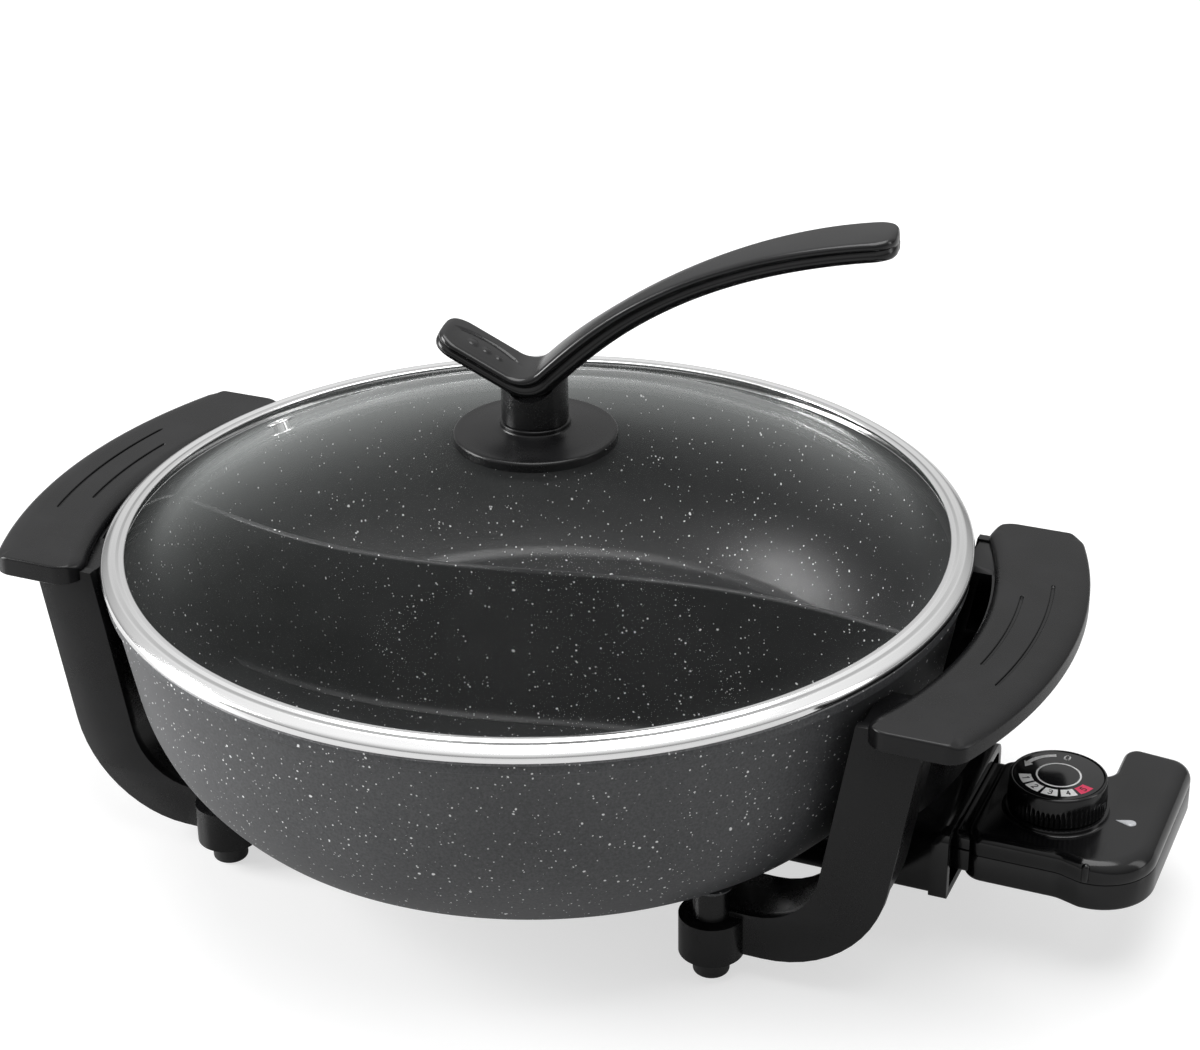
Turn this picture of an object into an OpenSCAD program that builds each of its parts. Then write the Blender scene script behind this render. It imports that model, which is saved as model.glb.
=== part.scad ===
// Electric hot pot: a divided pan on bakelite legs, a glass lid and a plug-in thermostat.
// Sizes are in millimetres. The origin is on the pan's axis at table height,
// +X points towards the thermostat and +Z points up.

/* [Pan] */
// Outside diameter of the pan's rim
pan_d = 340; // [330:1:350]
// Height of the rim above the table
rim_z = 126; // [120:1:134]
// Height of the pan's underside above the table
base_z = 40; // [38:0.5:43]
// Thickness of the pan's floor
floor_t = 5; // [4.5:0.25:7]
// Thickness of the pan's wall
wall_t = 3; // [2.25:0.25:3.75]
// Width of the flat band on top of the rim
rim_w = 4; // [3.5:0.25:5]
// Height of the thicker band under the rim
rim_h = 5; // [4:0.5:7]
// How far the rim band stands out from the wall
rim_proud = 1.8; // [1.2:0.1:2.6]
// Rounding of the rim's edges
rim_edge = 0.7; // [0.3:0.1:1]
// Outward lean of the straight part of the wall, in degrees
wall_lean = 10; // [8:0.5:11]
// Height where the straight wall turns into the bowl
bowl_z = 82; // [78:1:86]
// Outside radius of the bowl's curve
bowl_r = 75; // [70:1:78]

/* [Divider] */
// Thickness of the dividing wall
divider_t = 3; // [2:0.25:4]
// How far the dividing wall's top lies under the rim
divider_drop = 12.5; // [10.5:0.5:20]
// Sideways swing of the dividing wall's S
divider_swing = 13.5; // [6:0.5:24]
// Shift of the S towards the front
divider_shift = 4.5; // [0:0.5:10]
// Turn of the S, as a sideways shift of its ends
divider_turn = 4; // [0:0.5:10]

/* [Heater] */
// Distance of the heater's loop from the base's edge, to the middle of its tube
heater_in = 42.5; // [40:0.5:46]
// Diameter of the heater's tube
heater_d = 7; // [6:0.25:7.5]
// Half the opening of the heater's loop, in degrees
heater_gap = 25; // [22:1:28]
// Depth of the cast rib around the heater, below the underside
heater_rib_h = 8; // [7:0.5:9]
// Width of the cast rib at its foot
heater_rib_w = 15; // [13:0.5:17]
// Depth of the pins' axis below the pan's underside
pin_drop = 1.5; // [1:0.25:2]
// Distance between the two terminal pins
pin_pitch = 26; // [25:0.5:28]
// Diameter of a terminal pin
pin_d = 6; // [5:0.25:6.5]
// Length of a terminal pin in front of its collar
pin_len = 22; // [20:0.5:24]
// Diameter of the ceramic collars behind the pins
collar_d = 10; // [9:0.25:11]
// Length of the ceramic collars
collar_len = 9; // [8:0.5:10]

/* [Probe sleeve] */
// Bore of the sleeve that takes the probe
sleeve_bore_d = 7; // [6.8:0.1:7.6]
// Wall of the sleeve
sleeve_wall = 0.8; // [0.5:0.1:1]
// Length of the sleeve
sleeve_len = 52; // [46:1:56]

/* [Legs] */
// Distance of a foot's middle from the base's edge
foot_in = 7.2; // [6:0.2:12]
// Direction of a foot from the pan's axis, in degrees off the X axis
foot_angle = 37.57; // [36:0.01:39]
// Diameter of a rubber foot
foot_d = 14; // [12:0.5:16]
// Height of a rubber foot below its boss
foot_h = 5; // [4:0.5:6]
// Diameter of the boss over a foot
boss_d = 25; // [22:0.5:27]
// Height of the top of the boss above the table
boss_top_z = 26; // [24:0.5:28]
// Diameter of the column between the boss and the pan
column_d = 14; // [12:0.5:16]
// Width of a leg, along Y
leg_w = 30; // [26:0.5:32]
// Depth of a leg's upper part, along X
leg_depth = 26; // [24:0.5:28]
// Height of a leg's lower part
leg_tail_h = 18; // [15:0.5:20]
// Height of a leg's lowest line above the table
leg_low_z = 10; // [8:0.5:12]
// Distance of a leg's outside from the rim's edge, at its top
leg_proud = 13.5; // [12:0.5:16]
// Lean of a leg's upper part, in degrees
leg_lean = 10; // [8:0.5:11]
// Radius of a leg's outer bend
leg_bend_out = 48; // [44:1:52]
// Radius of a leg's inner bend
leg_bend_in = 26; // [24:1:28]
// Wall of a hollow leg
leg_wall = 4; // [3:0.25:5]
// Thickness of a leg's front plate
leg_plate_t = 4; // [3:0.25:5]
// How far the rest of the leg stands back from its front plate
leg_set_back = 1.2; // [0.6:0.1:1.6]
// Space between a leg and the pan
leg_gap = 2; // [1:0.25:3]
// Distance of the cross wall's outside from the rim's edge
apron_proud = 12; // [10.5:0.25:12.5]
// Thickness of the cross wall between two legs
apron_t = 4; // [3:0.25:5]
// Height of the cross wall's lower edge above the table
apron_low_z = 70; // [66:1:80]

/* [Grips] */
// Distance of the grip's inner edge from the rim's edge
grip_in = 9; // [8:0.25:10]
// Distance of the grip's outer edge from the rim's edge
grip_out = 45.5; // [42:0.5:50]
// Half the length of a grip
grip_half = 87; // [85:0.5:90]
// Depth of the grip's top below the rim
grip_drop = 3.5; // [2:0.25:5]
// Height of the grip's edge
grip_edge_h = 8; // [7:0.5:10]
// Thickness of the grip's top
grip_top_t = 4; // [3.5:0.25:5]
// Wall of the grip's edge
grip_wall = 3; // [2.5:0.25:3.5]
// Rounding of the grip's top edge at its ends
grip_round = 1; // [0.5:0.25:2]
// Width of the slope along the grip's outer edge
outer_slope_w = 7; // [5:0.5:8]
// Fall of the slope along the grip's outer edge
outer_slope_h = 2.5; // [1.5:0.25:3.5]
// Width of the slope along the grip's inner edge
inner_slope_w = 6; // [4:0.5:7]
// Fall of the slope along the grip's inner edge
inner_slope_h = 3.5; // [2:0.25:4]
// Corner radius of the grip, seen from above
grip_corner = 9; // [7:0.5:11]
// Width of the two curved grooves on the grip
groove_w = 1.2; // [0.8:0.1:2]
// Depth of the two curved grooves
groove_h = 1; // [0.5:0.1:1.5]
// Distance of the outer groove from the grip's outer edge
groove_out = 14; // [12:0.5:16]
// Distance between the two grooves
groove_pitch = 11; // [8:0.5:12]
// Half the angle of the outer groove, in degrees
groove_angle = 11.8; // [8:0.2:14]
// Distance of the grip's screws from the middle, along Y
grip_screw_y = 32; // [28:1:38]

/* [Socket guard] */
// Distance of the guard's face from the rim's edge
guard_proud = 12; // [11:0.5:13]
// Width of the guard's mouth, outside
guard_w = 74; // [72:0.5:78]
// Height of the guard's mouth, outside
guard_h = 29.5; // [28.5:0.25:31]
// Depth of the guard's lower edge below the pan's underside
guard_drop = 16.5; // [15.5:0.25:17.5]
// Wall of the guard
guard_wall = 2.6; // [2:0.2:3]
// Depth of the thicker lip around the mouth
guard_lip = 7; // [4:0.5:9]
// How far the lip stands out
guard_lip_t = 1; // [0.6:0.1:1.2]
// Space between the guard and the pan
guard_gap = 0.8; // [0.5:0.1:1.5]
// Distance of the guard's screws from the base's edge, along X
guard_screw_in = 16.5; // [14:0.5:20]
// Distance of the guard's screws from the middle, along Y
guard_screw_y = 27; // [26:0.5:28]

/* [Thermostat] */
// Height of the thermostat's case
case_h = 20; // [19:0.25:21]
// Height of the case's lower half
case_low_h = 11.5; // [11:0.25:12]
// Depth of the case's underside below the pins' axis
case_drop = 8.5; // [8:0.25:9]
// Half the width of the case's neck
neck_half = 30; // [29:0.25:31]
// Length of the case from the guard's face to its far side
case_len = 73; // [71:0.5:75]
// Length of the arm across the case's end, from the middle
arm_len = 55; // [50:1:58]
// Width of the arm
arm_w = 27; // [24:0.5:28]
// How far the case's near shoulder stands out from the neck
shoulder = 3; // [2:0.25:4]
// Wall of the case
case_wall = 2.2; // [1.8:0.1:2.6]
// Rounding of the case's top edge
case_round = 3.5; // [2.5:0.25:4]
// Rounding of the case's top edge at its far side
case_far_round = 6.5; // [5:0.25:7]
// Space between the guard's face and the neck
neck_gap = 3; // [2:0.5:4]
// Half the width of the nose inside the guard
nose_half = 28; // [27:0.5:29]
// Height of the nose
nose_h = 17; // [16:0.25:18]
// How far the nose reaches into the guard
nose_len = 20; // [18:0.5:21]
// Diameter of the probe
probe_d = 6.4; // [6:0.1:6.6]
// How far the probe stands out of the nose
probe_len = 55; // [50:1:57]
// Outside diameter of a contact sleeve
contact_d = 9; // [8.5:0.25:9.5]
// Space between a pin and its contact sleeve, all round
contact_gap = 0.05; // [0.02:0.01:0.1]
// Bore of the cord gland
gland_bore_d = 7; // [6:0.25:7.5]
// Outside diameter of the cord gland
gland_d = 11; // [10:0.25:12]

/* [Dial] */
// Distance of the dial's axis from the guard's face
dial_x = 31.5; // [30:0.5:33]
// Diameter of the dial
dial_d = 37.5; // [34:0.5:39]
// Height of the dial
dial_h = 12.5; // [10:0.5:15]
// Height of the low round step under the dial
dial_step_h = 2; // [1.5:0.25:3]
// Space under the dial
dial_gap = 0.4; // [0.3:0.1:0.8]
// Height of the ribbed band around the dial
rib_band_h = 6; // [4:0.5:8]
// Number of ribs around the dial
rib_count = 60; // [40:2:72]
// Depth of a rib
rib_depth = 0.5; // [0.3:0.1:0.8]
// Diameter of the printed disc on the dial
dial_face_d = 34; // [30:0.5:35]
// Thickness of the printed disc
dial_face_t = 0.8; // [0.5:0.1:1.2]
// Diameter of the dial's shaft
shaft_d = 6; // [5:0.25:7]
// Space around the shaft where it turns
shaft_gap = 0.05; // [0.02:0.01:0.1]

/* [Pilot light] */
// Length of the teardrop lens
lens_len = 8; // [6:0.5:9]
// Width of the teardrop lens
lens_w = 4.2; // [3:0.2:5]
// Distance of the lens from the case's far side
lens_x = 9; // [8:0.5:10]

/* [Lid] */
// How far the lid's ring stands over the pan's rim
ring_over = 1; // [0.5:0.25:2]
// Height of the ring's bead above the rim
bead_h = 6; // [6:0.25:8]
// Width of the ring's bead
bead_w = 9.5; // [9:0.25:10.5]
// Thickness of the ring's metal
ring_t = 1.2; // [1:0.1:1.3]
// Depth of the ring's skirt inside the pan
skirt_h = 8; // [5:0.5:9]
// Space between the skirt and the pan's wall
skirt_gap = 0.9; // [0.7:0.1:1.5]
// Space between the ring and the rim it rests on
seat_gap = 0.2; // [0.1:0.1:0.3]
// Thickness of the glass
glass_t = 3.6; // [3:0.2:3.8]
// Rise of the glass from its edge to its middle
dome_h = 40; // [34:1:48]
// Radius of the bend between the glass's edge and its dome
glass_bend_r = 22; // [15:1:30]
// Distance of the steam vent from the glass's edge
vent_in = 31; // [27:1:38]
// Direction of the steam vent, in degrees
vent_angle = 166; // [150:1:180]

/* [Lid knob] */
// Diameter of the knob's flange
flange_d = 64; // [56:1:70]
// Thickness of the flange at its edge
flange_edge_t = 3.8; // [3:0.2:5]
// Diameter of the post
post_d = 26; // [22:0.5:28]
// Height of the post between the flange and the handle's bend
post_h = 13; // [10:0.5:16]
// Direction of the handle's long arm, in degrees
handle_angle = 11; // [0:1:20]
// Length of the handle's short arm
short_arm_len = 37; // [32:1:40]
// Rise of the short arm, in degrees
short_arm_rise = 29; // [24:1:34]
// Radius of the bend between the two arms
handle_bend_r = 12; // [10:0.5:14]
// Radius of the long arm's curve
long_arm_r = 205; // [190:5:220]
// Rise of the long arm where it leaves the bend, in degrees
long_arm_start = 46; // [42:1:50]
// Rise of the long arm at its tip, in degrees
long_arm_end = 5; // [2:1:10]
// Width of the handle over the post and on the short arm
handle_w = 25; // [21:0.5:27]
// Width of the long arm where it is narrowest
handle_waist_w = 15; // [12:0.5:18]
// Width of the long arm at its tip
handle_tip_w = 25; // [20:0.5:28]
// Thickness of the short arm
short_arm_t = 7; // [6:0.25:8]
// Thickness of the long arm
long_arm_t = 9.5; // [8:0.25:11]

/* [Screws] */
// Diameter of the leg, guard and grip screws
screw_d = 4; // [3.5:0.1:4.4]
// Diameter of a screw's head
screw_head_d = 8; // [7.5:0.1:8.6]
// Height of a screw's head
screw_head_h = 2.6; // [2:0.1:3]
// Space around a screw in a plain hole
screw_gap = 0.25; // [0.2:0.05:0.4]
// Diameter of the thermostat's case screws
case_screw_d = 3; // [2.5:0.1:3.2]

/* [Hidden] */

// Number of sides of the large rounds and of the small rounds
large_fn = 180;
small_fn = 48;
// Overlap of parts that are joined into one piece
join = 1;

// Pan
pan_r = pan_d / 2;
floor_z = base_z + floor_t;
wall_top_z = rim_z - rim_h;
wall_top_r = pan_r - rim_proud;
divider_top_z = rim_z - divider_drop;
// Radius of the straight wall's outside at height z
function straight_r(z) = wall_top_r - (wall_top_z - z) * tan(wall_lean);
bowl_cx = straight_r(bowl_z) - bowl_r * cos(wall_lean);
bowl_cz = bowl_z + bowl_r * sin(wall_lean);
// Radius of the pan's outside, moved outwards by d, at height z
function wall_r(z, d = 0) =
    z > bowl_cz - (bowl_r + d) * sin(wall_lean)
        ? straight_r(z) + d / cos(wall_lean)
        : bowl_cx + sqrt(pow(bowl_r + d, 2) - pow(z - bowl_cz, 2));
// Outline of the wall, moved outwards by d, from height z0 up to z1
function wall_line(d, z0, z1, steps = 14) =
    let(a0 = asin((z0 - bowl_cz) / (bowl_r + d)))
    concat(arc([bowl_cx, bowl_cz], bowl_r + d, a0, -wall_lean, steps), [[wall_r(z1, d), z1]]);

// Heater: the loop ends in two bends that turn into straight tails side by side
base_r = wall_r(base_z);
heater_loop_r = base_r - heater_in;
pin_z = base_z - pin_drop;
pin_y = pin_pitch / 2;
heater_return_r = (heater_loop_r * sin(heater_gap) - pin_y) / (1 - sin(heater_gap));
heater_return_c = heater_loop_r + heater_return_r;
heater_tail_x = heater_return_c * cos(heater_gap);
collar_x = base_r + 5;
heater_end_x = collar_x + collar_len / 2;
pin_root_x = heater_end_x;
pin_tip_x = collar_x + collar_len + pin_len;

// Grips and legs
foot_x = (base_r - foot_in) * cos(foot_angle);
foot_y = (base_r - foot_in) * sin(foot_angle);
grip_r_in = pan_r + grip_in;
grip_r_out = pan_r + grip_out;
grip_top_z = rim_z - grip_drop;
grip_under_z = grip_top_z - grip_top_t;
grip_low_z = grip_top_z - grip_edge_h;
lug_t = 4;
lug_top_z = grip_under_z - 2.5;
lug_r = pan_r + 22;
lug_d = 11;
leg_top_x = pan_r + leg_proud;
apron_r = pan_r + apron_proud;
// X of a leg's outer line at height z
function leg_x(z) = leg_top_x - (grip_under_z - z) * tan(leg_lean);
leg_out_cz = leg_low_z + leg_bend_out;
leg_out_cx = leg_x(leg_out_cz - leg_bend_out * sin(leg_lean)) - leg_bend_out * cos(leg_lean);
leg_in_cz = leg_low_z + leg_tail_h + leg_bend_in;
leg_in_cx = leg_x(leg_in_cz - leg_bend_in * sin(leg_lean)) - leg_depth - leg_bend_in * cos(leg_lean);
leg_y_in = foot_y - leg_w;
pad_h = 2;
pad_d = 16;
foot_plug_d = 10;
foot_plug_h = 3.5;
leg_screw_head_z = foot_h + foot_plug_h + 0.5;
leg_screw_tip_z = floor_z - 1.2;

// Socket guard
guard_x = pan_r + guard_proud;
guard_screw_x = base_r - guard_screw_in;
guard_low_z = base_z - guard_drop;
guard_high_z = guard_low_z + guard_h;
guard_top_round = 5;
guard_low_round = 1.5;
guard_tab_d = 11;
guard_tab_top_z = base_z - pad_h;

// Thermostat
case_low_z = pin_z - case_drop;
case_seam_z = case_low_z + case_low_h;
case_top_z = case_low_z + case_h;
case_x = guard_x + neck_gap;
case_far_x = guard_x + case_len;
nose_x = guard_x - nose_len;
nose_root_x = case_x + 3;
nose_low_z = pin_z - 7;
nose_top_z = nose_low_z + nose_h;
dial_cx = guard_x + dial_x;
dial_low_z = case_top_z + dial_step_h + dial_gap;
dial_top_z = dial_low_z + dial_h;
dial_step_d = dial_d + 2;
shaft_low_z = pin_z + 2;
shaft_top_z = dial_low_z + 8;
lens_cx = case_far_x - lens_x - lens_len / 2;
case_screw_boss_d = 7;
case_screw_spots = [
    [case_x + 7, 22], [case_x + 7, -22], [case_far_x - 13, -16], [case_far_x - 9, arm_len - 20]
];
gland_len = 10;
gland_cx = case_far_x - arm_w / 2;
gland_z = case_low_z + case_wall + gland_d / 2 + 1;

// Lid
ring_r = pan_r + ring_over;
seat_z = rim_z + seat_gap;
bead_top_z = seat_z + bead_h;
skirt_r = wall_r(wall_top_z, -wall_t) - skirt_gap;
glass_top_z = bead_top_z - ring_t;
glass_edge_r = ring_r - ring_t - 0.8;
glass_flat_r = ring_r - bead_w - 2;
// The dome's arc and the edge bend touch: the distance of their centres is the sum of their radii
dome_sum_r = (pow(glass_flat_r, 2) + pow(dome_h, 2)) / (2 * dome_h);
dome_r = dome_sum_r - glass_bend_r;
dome_turn = asin(glass_flat_r / dome_sum_r);
dome_top_z = glass_top_z + dome_h;
dome_cz = dome_top_z - dome_r;
vent_tilt = asin((glass_edge_r - vent_in) / dome_r);
vent_d = 7;
vent_bore_d = 4;
vent_flange_d = 11;
flange_rise = 3;
flange_top_z = dome_top_z - dome_r + sqrt(pow(dome_r, 2) - pow(flange_d / 2, 2)) + flange_edge_t + flange_rise;
bend_low_z = flange_top_z + post_h;
lid_screw_d = 5;
lid_washer_d = 22;
lid_washer_t = 1.5;
glass_hole_d = 8;
// The washer's upper face, just under the glass
lid_washer_top_z = dome_cz + sqrt(pow(dome_r - glass_t, 2) - pow(lid_washer_d / 2, 2)) - 0.1;

// Points of an arc round centre c from angle a0 to a1
function arc(c, r, a0, a1, steps) =
    [for (i = [0:steps]) let(a = a0 + (a1 - a0) * i / steps) [c[0] + r * cos(a), c[1] + r * sin(a)]];
function reversed(v) = [for (i = [len(v) - 1:-1:0]) v[i]];
function unit(v) = v / norm(v);
function flat(p) = [p[0], p[1]];

// Outline through corners [x, y, radius], run anticlockwise, each corner rounded by its radius
function rounded(corners, steps = 6) =
    [for (i = [0:len(corners) - 1])
        let(
            count = len(corners),
            p = flat(corners[i]),
            u = unit(flat(corners[(i + count - 1) % count]) - p),
            v = unit(flat(corners[(i + 1) % count]) - p),
            half = acos(u * v) / 2,
            r = corners[i][2],
            centre = p + unit(u + v) * r / sin(half),
            start = p + u * r / tan(half) - centre,
            a0 = atan2(start[1], start[0]),
            turn = (180 - 2 * half) * sign(v[0] * u[1] - v[1] * u[0])
        )
        each r == 0 ? [p] : arc(centre, r, a0, a0 + turn, steps)];

// An anticlockwise outline moved inwards by d
function inset(pts, d) =
    [for (i = [0:len(pts) - 1])
        let(
            count = len(pts),
            along = unit(pts[(i + 1) % count] - pts[(i + count - 1) % count])
        )
        pts[i] + d * [-along[1], along[0]]];

// An outline at height z
function at_height(pts, z) = [for (p = pts) [p[0], p[1], z]];

// A solid skinned over rings of equal counts, each anticlockwise round the way they are stacked
module skin(rings) {
    n = len(rings[0]);
    m = len(rings);
    polyhedron(
        points = [for (ring = rings) each ring],
        faces = concat(
            [[for (i = [0:n - 1]) i]],
            [[for (i = [n - 1:-1:0]) (m - 1) * n + i]],
            [for (j = [0:m - 2], i = [0:n - 1]) [j * n + i, (j + 1) * n + i, (j + 1) * n + (i + 1) % n]],
            [for (j = [0:m - 2], i = [0:n - 1]) [j * n + i, (j + 1) * n + (i + 1) % n, j * n + (i + 1) % n]]
        )
    );
}

// Such a skin between the heights z0 and z1: it runs on past both, and flat cuts end it there
module slab(rings, z0, z1) {
    big = 2 * pan_d;
    first = rings[0];
    last = rings[len(rings) - 1];
    intersection() {
        skin(concat([at_height(first, z0 - join)], rings, [at_height(last, z1 + join)]));
        translate([-big / 2, -big / 2, z0]) cube([big, big, z1 - z0]);
    }
}

// Rings that round the upper edge of an outline up to height z. Each of its points has its own
// [width, fall].
function rounded_top(pts, edges, z, steps = 5) =
    let(count = len(pts))
    [for (k = [0:steps]) let(a = 90 * k / steps)
        [for (i = [0:count - 1])
            let(
                along = unit(pts[(i + 1) % count] - pts[(i + count - 1) % count]),
                p = pts[i] + edges[i][0] * (1 - cos(a)) * [-along[1], along[0]]
            )
            [p[0], p[1], z - edges[i][1] * (1 - sin(a))]]];

// 0 up to low, 1 from high on, and a soft step between them
function soft_step(x, low, high) = let(t = max(0, min(1, (x - low) / (high - low)))) t * t * (3 - 2 * t);

// A flat shape drawn in Y and Z, run along X from x0 to x1
module along_x(x0, x1) {
    translate([x0, 0, 0]) rotate([90, 0, 90]) linear_extrude(x1 - x0) children();
}

// A round bar along X at height z
module rod_x(x0, x1, d, y, z) {
    translate([x0, y, z]) rotate([0, 90, 0]) cylinder(h = x1 - x0, d = d, $fn = small_fn);
}

// A round bar along Z
module rod_z(x, y, z0, z1, d) {
    translate([x, y, z0]) cylinder(h = z1 - z0, d = d, $fn = small_fn);
}

// A pan-head screw that points up, with its head's upper face at seat_at
module screw_up(x, y, seat_at, tip, d = screw_d, head_d = screw_head_d, head_h = screw_head_h) {
    rod_z(x, y, seat_at, tip, d);
    rod_z(x, y, seat_at - head_h, seat_at, head_d);
}

module on_four_feet() {
    for (sx = [-1, 1], sy = [-1, 1]) translate([sx * foot_x, sy * foot_y, 0]) children();
}

module on_both_sides() {
    for (s = [0, 1]) mirror([0, s, 0]) children();
}

// ---- Pan ----

// Everything inside the pan's outside, moved outwards by d
module pan_envelope(d, z0 = base_z, z1 = rim_z) {
    rotate_extrude($fn = large_fn)
        polygon(concat([[0, z0 - d]], wall_line(d, z0 - d, z1), [[0, z1]]));
}

module pan_section() {
    polygon(concat(
        [[0, base_z]],
        wall_line(0, base_z, wall_top_z),
        [[pan_r - rim_edge, wall_top_z], [pan_r, wall_top_z + rim_edge], [pan_r, rim_z - rim_edge],
         [pan_r - rim_edge, rim_z], [pan_r - rim_w + rim_edge, rim_z], [pan_r - rim_w, rim_z - rim_edge]],
        reversed(wall_line(-wall_t, floor_z, wall_top_z)),
        [[0, floor_z]]
    ));
}

// A flat shape, drawn across the heater's tube, run along the heater up to end_x.
// The second shape is for the two bends: it is a little smaller, so that their ends lie inside the others.
module along_heater(end_x) {
    into = 0.6;
    rotate([0, 0, heater_gap])
        rotate_extrude(angle = 360 - 2 * heater_gap, $fn = large_fn)
            translate([heater_loop_r, 0]) children(0);
    on_both_sides() {
        translate([heater_return_c * cos(heater_gap), heater_return_c * sin(heater_gap), 0])
            rotate([0, 0, 180 + heater_gap - into])
                rotate_extrude(angle = 90 - heater_gap + 2 * into, $fn = large_fn)
                    translate([heater_return_r, 0]) children(1);
        along_x(heater_tail_x, end_x) translate([pin_y, 0]) children(0);
    }
}

module heater_line(end_x) {
    along_heater(end_x) {
        translate([0, pin_z]) circle(d = heater_d, $fn = small_fn);
        translate([0, pin_z]) circle(d = heater_d - 0.02, $fn = small_fn);
    }
}

module heater_rib_shape(less) {
    top = heater_rib_w / 2 - less;
    low = heater_rib_w / 2 - 2.5 - less;
    polygon([[-low, base_z - heater_rib_h + less], [low, base_z - heater_rib_h + less],
             [top, base_z + join], [-top, base_z + join]]);
}

module pan_body() {
    color("dimgray") difference() {
        union() {
            rotate_extrude($fn = large_fn) pan_section();
            along_heater(base_r - 6) {
                heater_rib_shape(0);
                heater_rib_shape(0.02);
            }
            // Cast block round the probe's sleeve
            translate([base_r - 6 - sleeve_len, -6, base_z - heater_rib_h])
                cube([sleeve_len, 12, heater_rib_h + join]);
            on_four_feet() rod_z(0, 0, base_z - pad_h, base_z + join, pad_d);
            on_both_sides() rod_z(guard_screw_x, guard_screw_y, base_z - pad_h, base_z + join, guard_tab_d);
        }
        heater_line(collar_x);
        rod_x(base_r - 6 - sleeve_len - join, collar_x, sleeve_bore_d + 2 * sleeve_wall, 0, pin_z);
        on_four_feet() rod_z(0, 0, base_z - pad_h - join, leg_screw_tip_z + 0.2, screw_d);
        on_both_sides()
            rod_z(guard_screw_x, guard_screw_y, base_z - pad_h - join, leg_screw_tip_z + 0.2, screw_d);
    }
}

// Sideways place of the dividing wall at x
function divider_y(x) =
    let(k = x / pan_r)
    divider_swing * sin(180 * k) - divider_shift * cos(90 * k) - divider_turn * k;

module divider_wall() {
    steps = 32;
    xs = [for (i = [0:steps]) pan_r * (2 * i / steps - 1)];
    color("#161616") intersection() {
        translate([0, 0, floor_z]) linear_extrude(divider_top_z - floor_z) polygon(concat(
            [for (x = xs) [x, divider_y(x) - divider_t / 2]],
            [for (x = reversed(xs)) [x, divider_y(x) + divider_t / 2]]
        ));
        rotate_extrude($fn = large_fn)
            polygon(concat([[0, floor_z]], wall_line(-wall_t, floor_z, wall_top_z), [[0, wall_top_z]]));
    }
}

// ---- Heater and its terminals ----

module heater_tube() {
    color("lightgray") heater_line(heater_end_x);
}

module ceramic_collars() {
    color("ivory") on_both_sides() difference() {
        rod_x(collar_x, collar_x + collar_len, collar_d, pin_y, pin_z);
        rod_x(collar_x - join, heater_end_x, heater_d, pin_y, pin_z);
        rod_x(heater_end_x - join, collar_x + collar_len + join, pin_d, pin_y, pin_z);
    }
}

module terminal_pins() {
    tip = 1.5;
    color("silver") on_both_sides() {
        rod_x(pin_root_x, pin_tip_x - tip, pin_d, pin_y, pin_z);
        translate([pin_tip_x - tip, pin_y, pin_z]) rotate([0, 90, 0])
            cylinder(h = tip, d1 = pin_d, d2 = pin_d - 2 * tip, $fn = small_fn);
    }
}

module probe_sleeve() {
    x0 = base_r - 6 - sleeve_len;
    end_t = 1;
    color("silver") difference() {
        rod_x(x0, x0 + sleeve_len, sleeve_bore_d + 2 * sleeve_wall, 0, pin_z);
        rod_x(x0 + end_t, x0 + sleeve_len + join, sleeve_bore_d, 0, pin_z);
    }
}

// ---- Socket guard ----

// Upright rectangle in Y and Z with rounded upper and lower corners
module guard_shape(half, low, high, top_round, low_round) {
    polygon(rounded([[-half, low, low_round], [half, low, low_round],
                     [half, high, top_round], [-half, high, top_round]]));
}

module socket_guard() {
    body_half = guard_w / 2 - guard_lip_t;
    body_low = guard_low_z + guard_lip_t;
    body_high = guard_high_z - guard_lip_t;
    in_half = body_half - guard_wall;
    tail_x = guard_screw_x - 9;
    shelf_x = base_r + 4;
    color("#101010") difference() {
        union() {
            along_x(tail_x, guard_x - guard_lip + join)
                guard_shape(body_half, body_low, body_high, guard_top_round, guard_low_round);
            along_x(guard_x - guard_lip, guard_x)
                guard_shape(guard_w / 2, guard_low_z, guard_high_z, guard_top_round + guard_lip_t,
                            guard_low_round);
        }
        // Hollow through its length, with the floor cut away behind the pins
        along_x(tail_x - join, guard_x + join)
            guard_shape(in_half, body_low + guard_wall, body_high - guard_wall,
                        guard_top_round - guard_wall, guard_low_round / 2);
        translate([tail_x - join, -in_half, 0]) cube([shelf_x - tail_x + join, 2 * in_half, base_z]);
        pan_envelope(guard_gap);
    }
    // Screw tabs under the pan
    color("#101010") on_both_sides() difference() {
        union() {
            rod_z(guard_screw_x, guard_screw_y, body_low, guard_tab_top_z, guard_tab_d);
            translate([guard_screw_x - 3, guard_screw_y, body_low])
                cube([6, in_half - guard_screw_y + join, guard_tab_top_z - body_low - 1]);
        }
        rod_z(guard_screw_x, guard_screw_y, body_low - join, base_z, screw_d + 2 * screw_gap);
    }
}

module guard_screws() {
    color("silver") on_both_sides()
        screw_up(guard_screw_x, guard_screw_y, guard_low_z + guard_lip_t, leg_screw_tip_z);
}

// ---- Legs and their bracket ----

// Side outline of a leg in X and Z, moved inwards by d
function leg_outline(d) = concat(
    [[leg_x(grip_under_z - d) - d / cos(leg_lean), grip_under_z - d]],
    reversed(concat(
        [[leg_x(grip_under_z - d) - leg_depth + d / cos(leg_lean), grip_under_z - d]],
        arc([leg_in_cx, leg_in_cz], leg_bend_in + d, -leg_lean, -90, 8),
        [[foot_x + d, leg_in_cz - leg_bend_in - d]],
        [[foot_x + d, leg_low_z + d]],
        arc([leg_out_cx, leg_out_cz], leg_bend_out - d, -90, -leg_lean, 12)
    ))
);

module leg_bar(d, y0, y1) {
    translate([0, y1, 0]) rotate([90, 0, 0]) linear_extrude(y1 - y0) polygon(leg_outline(d));
}

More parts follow.
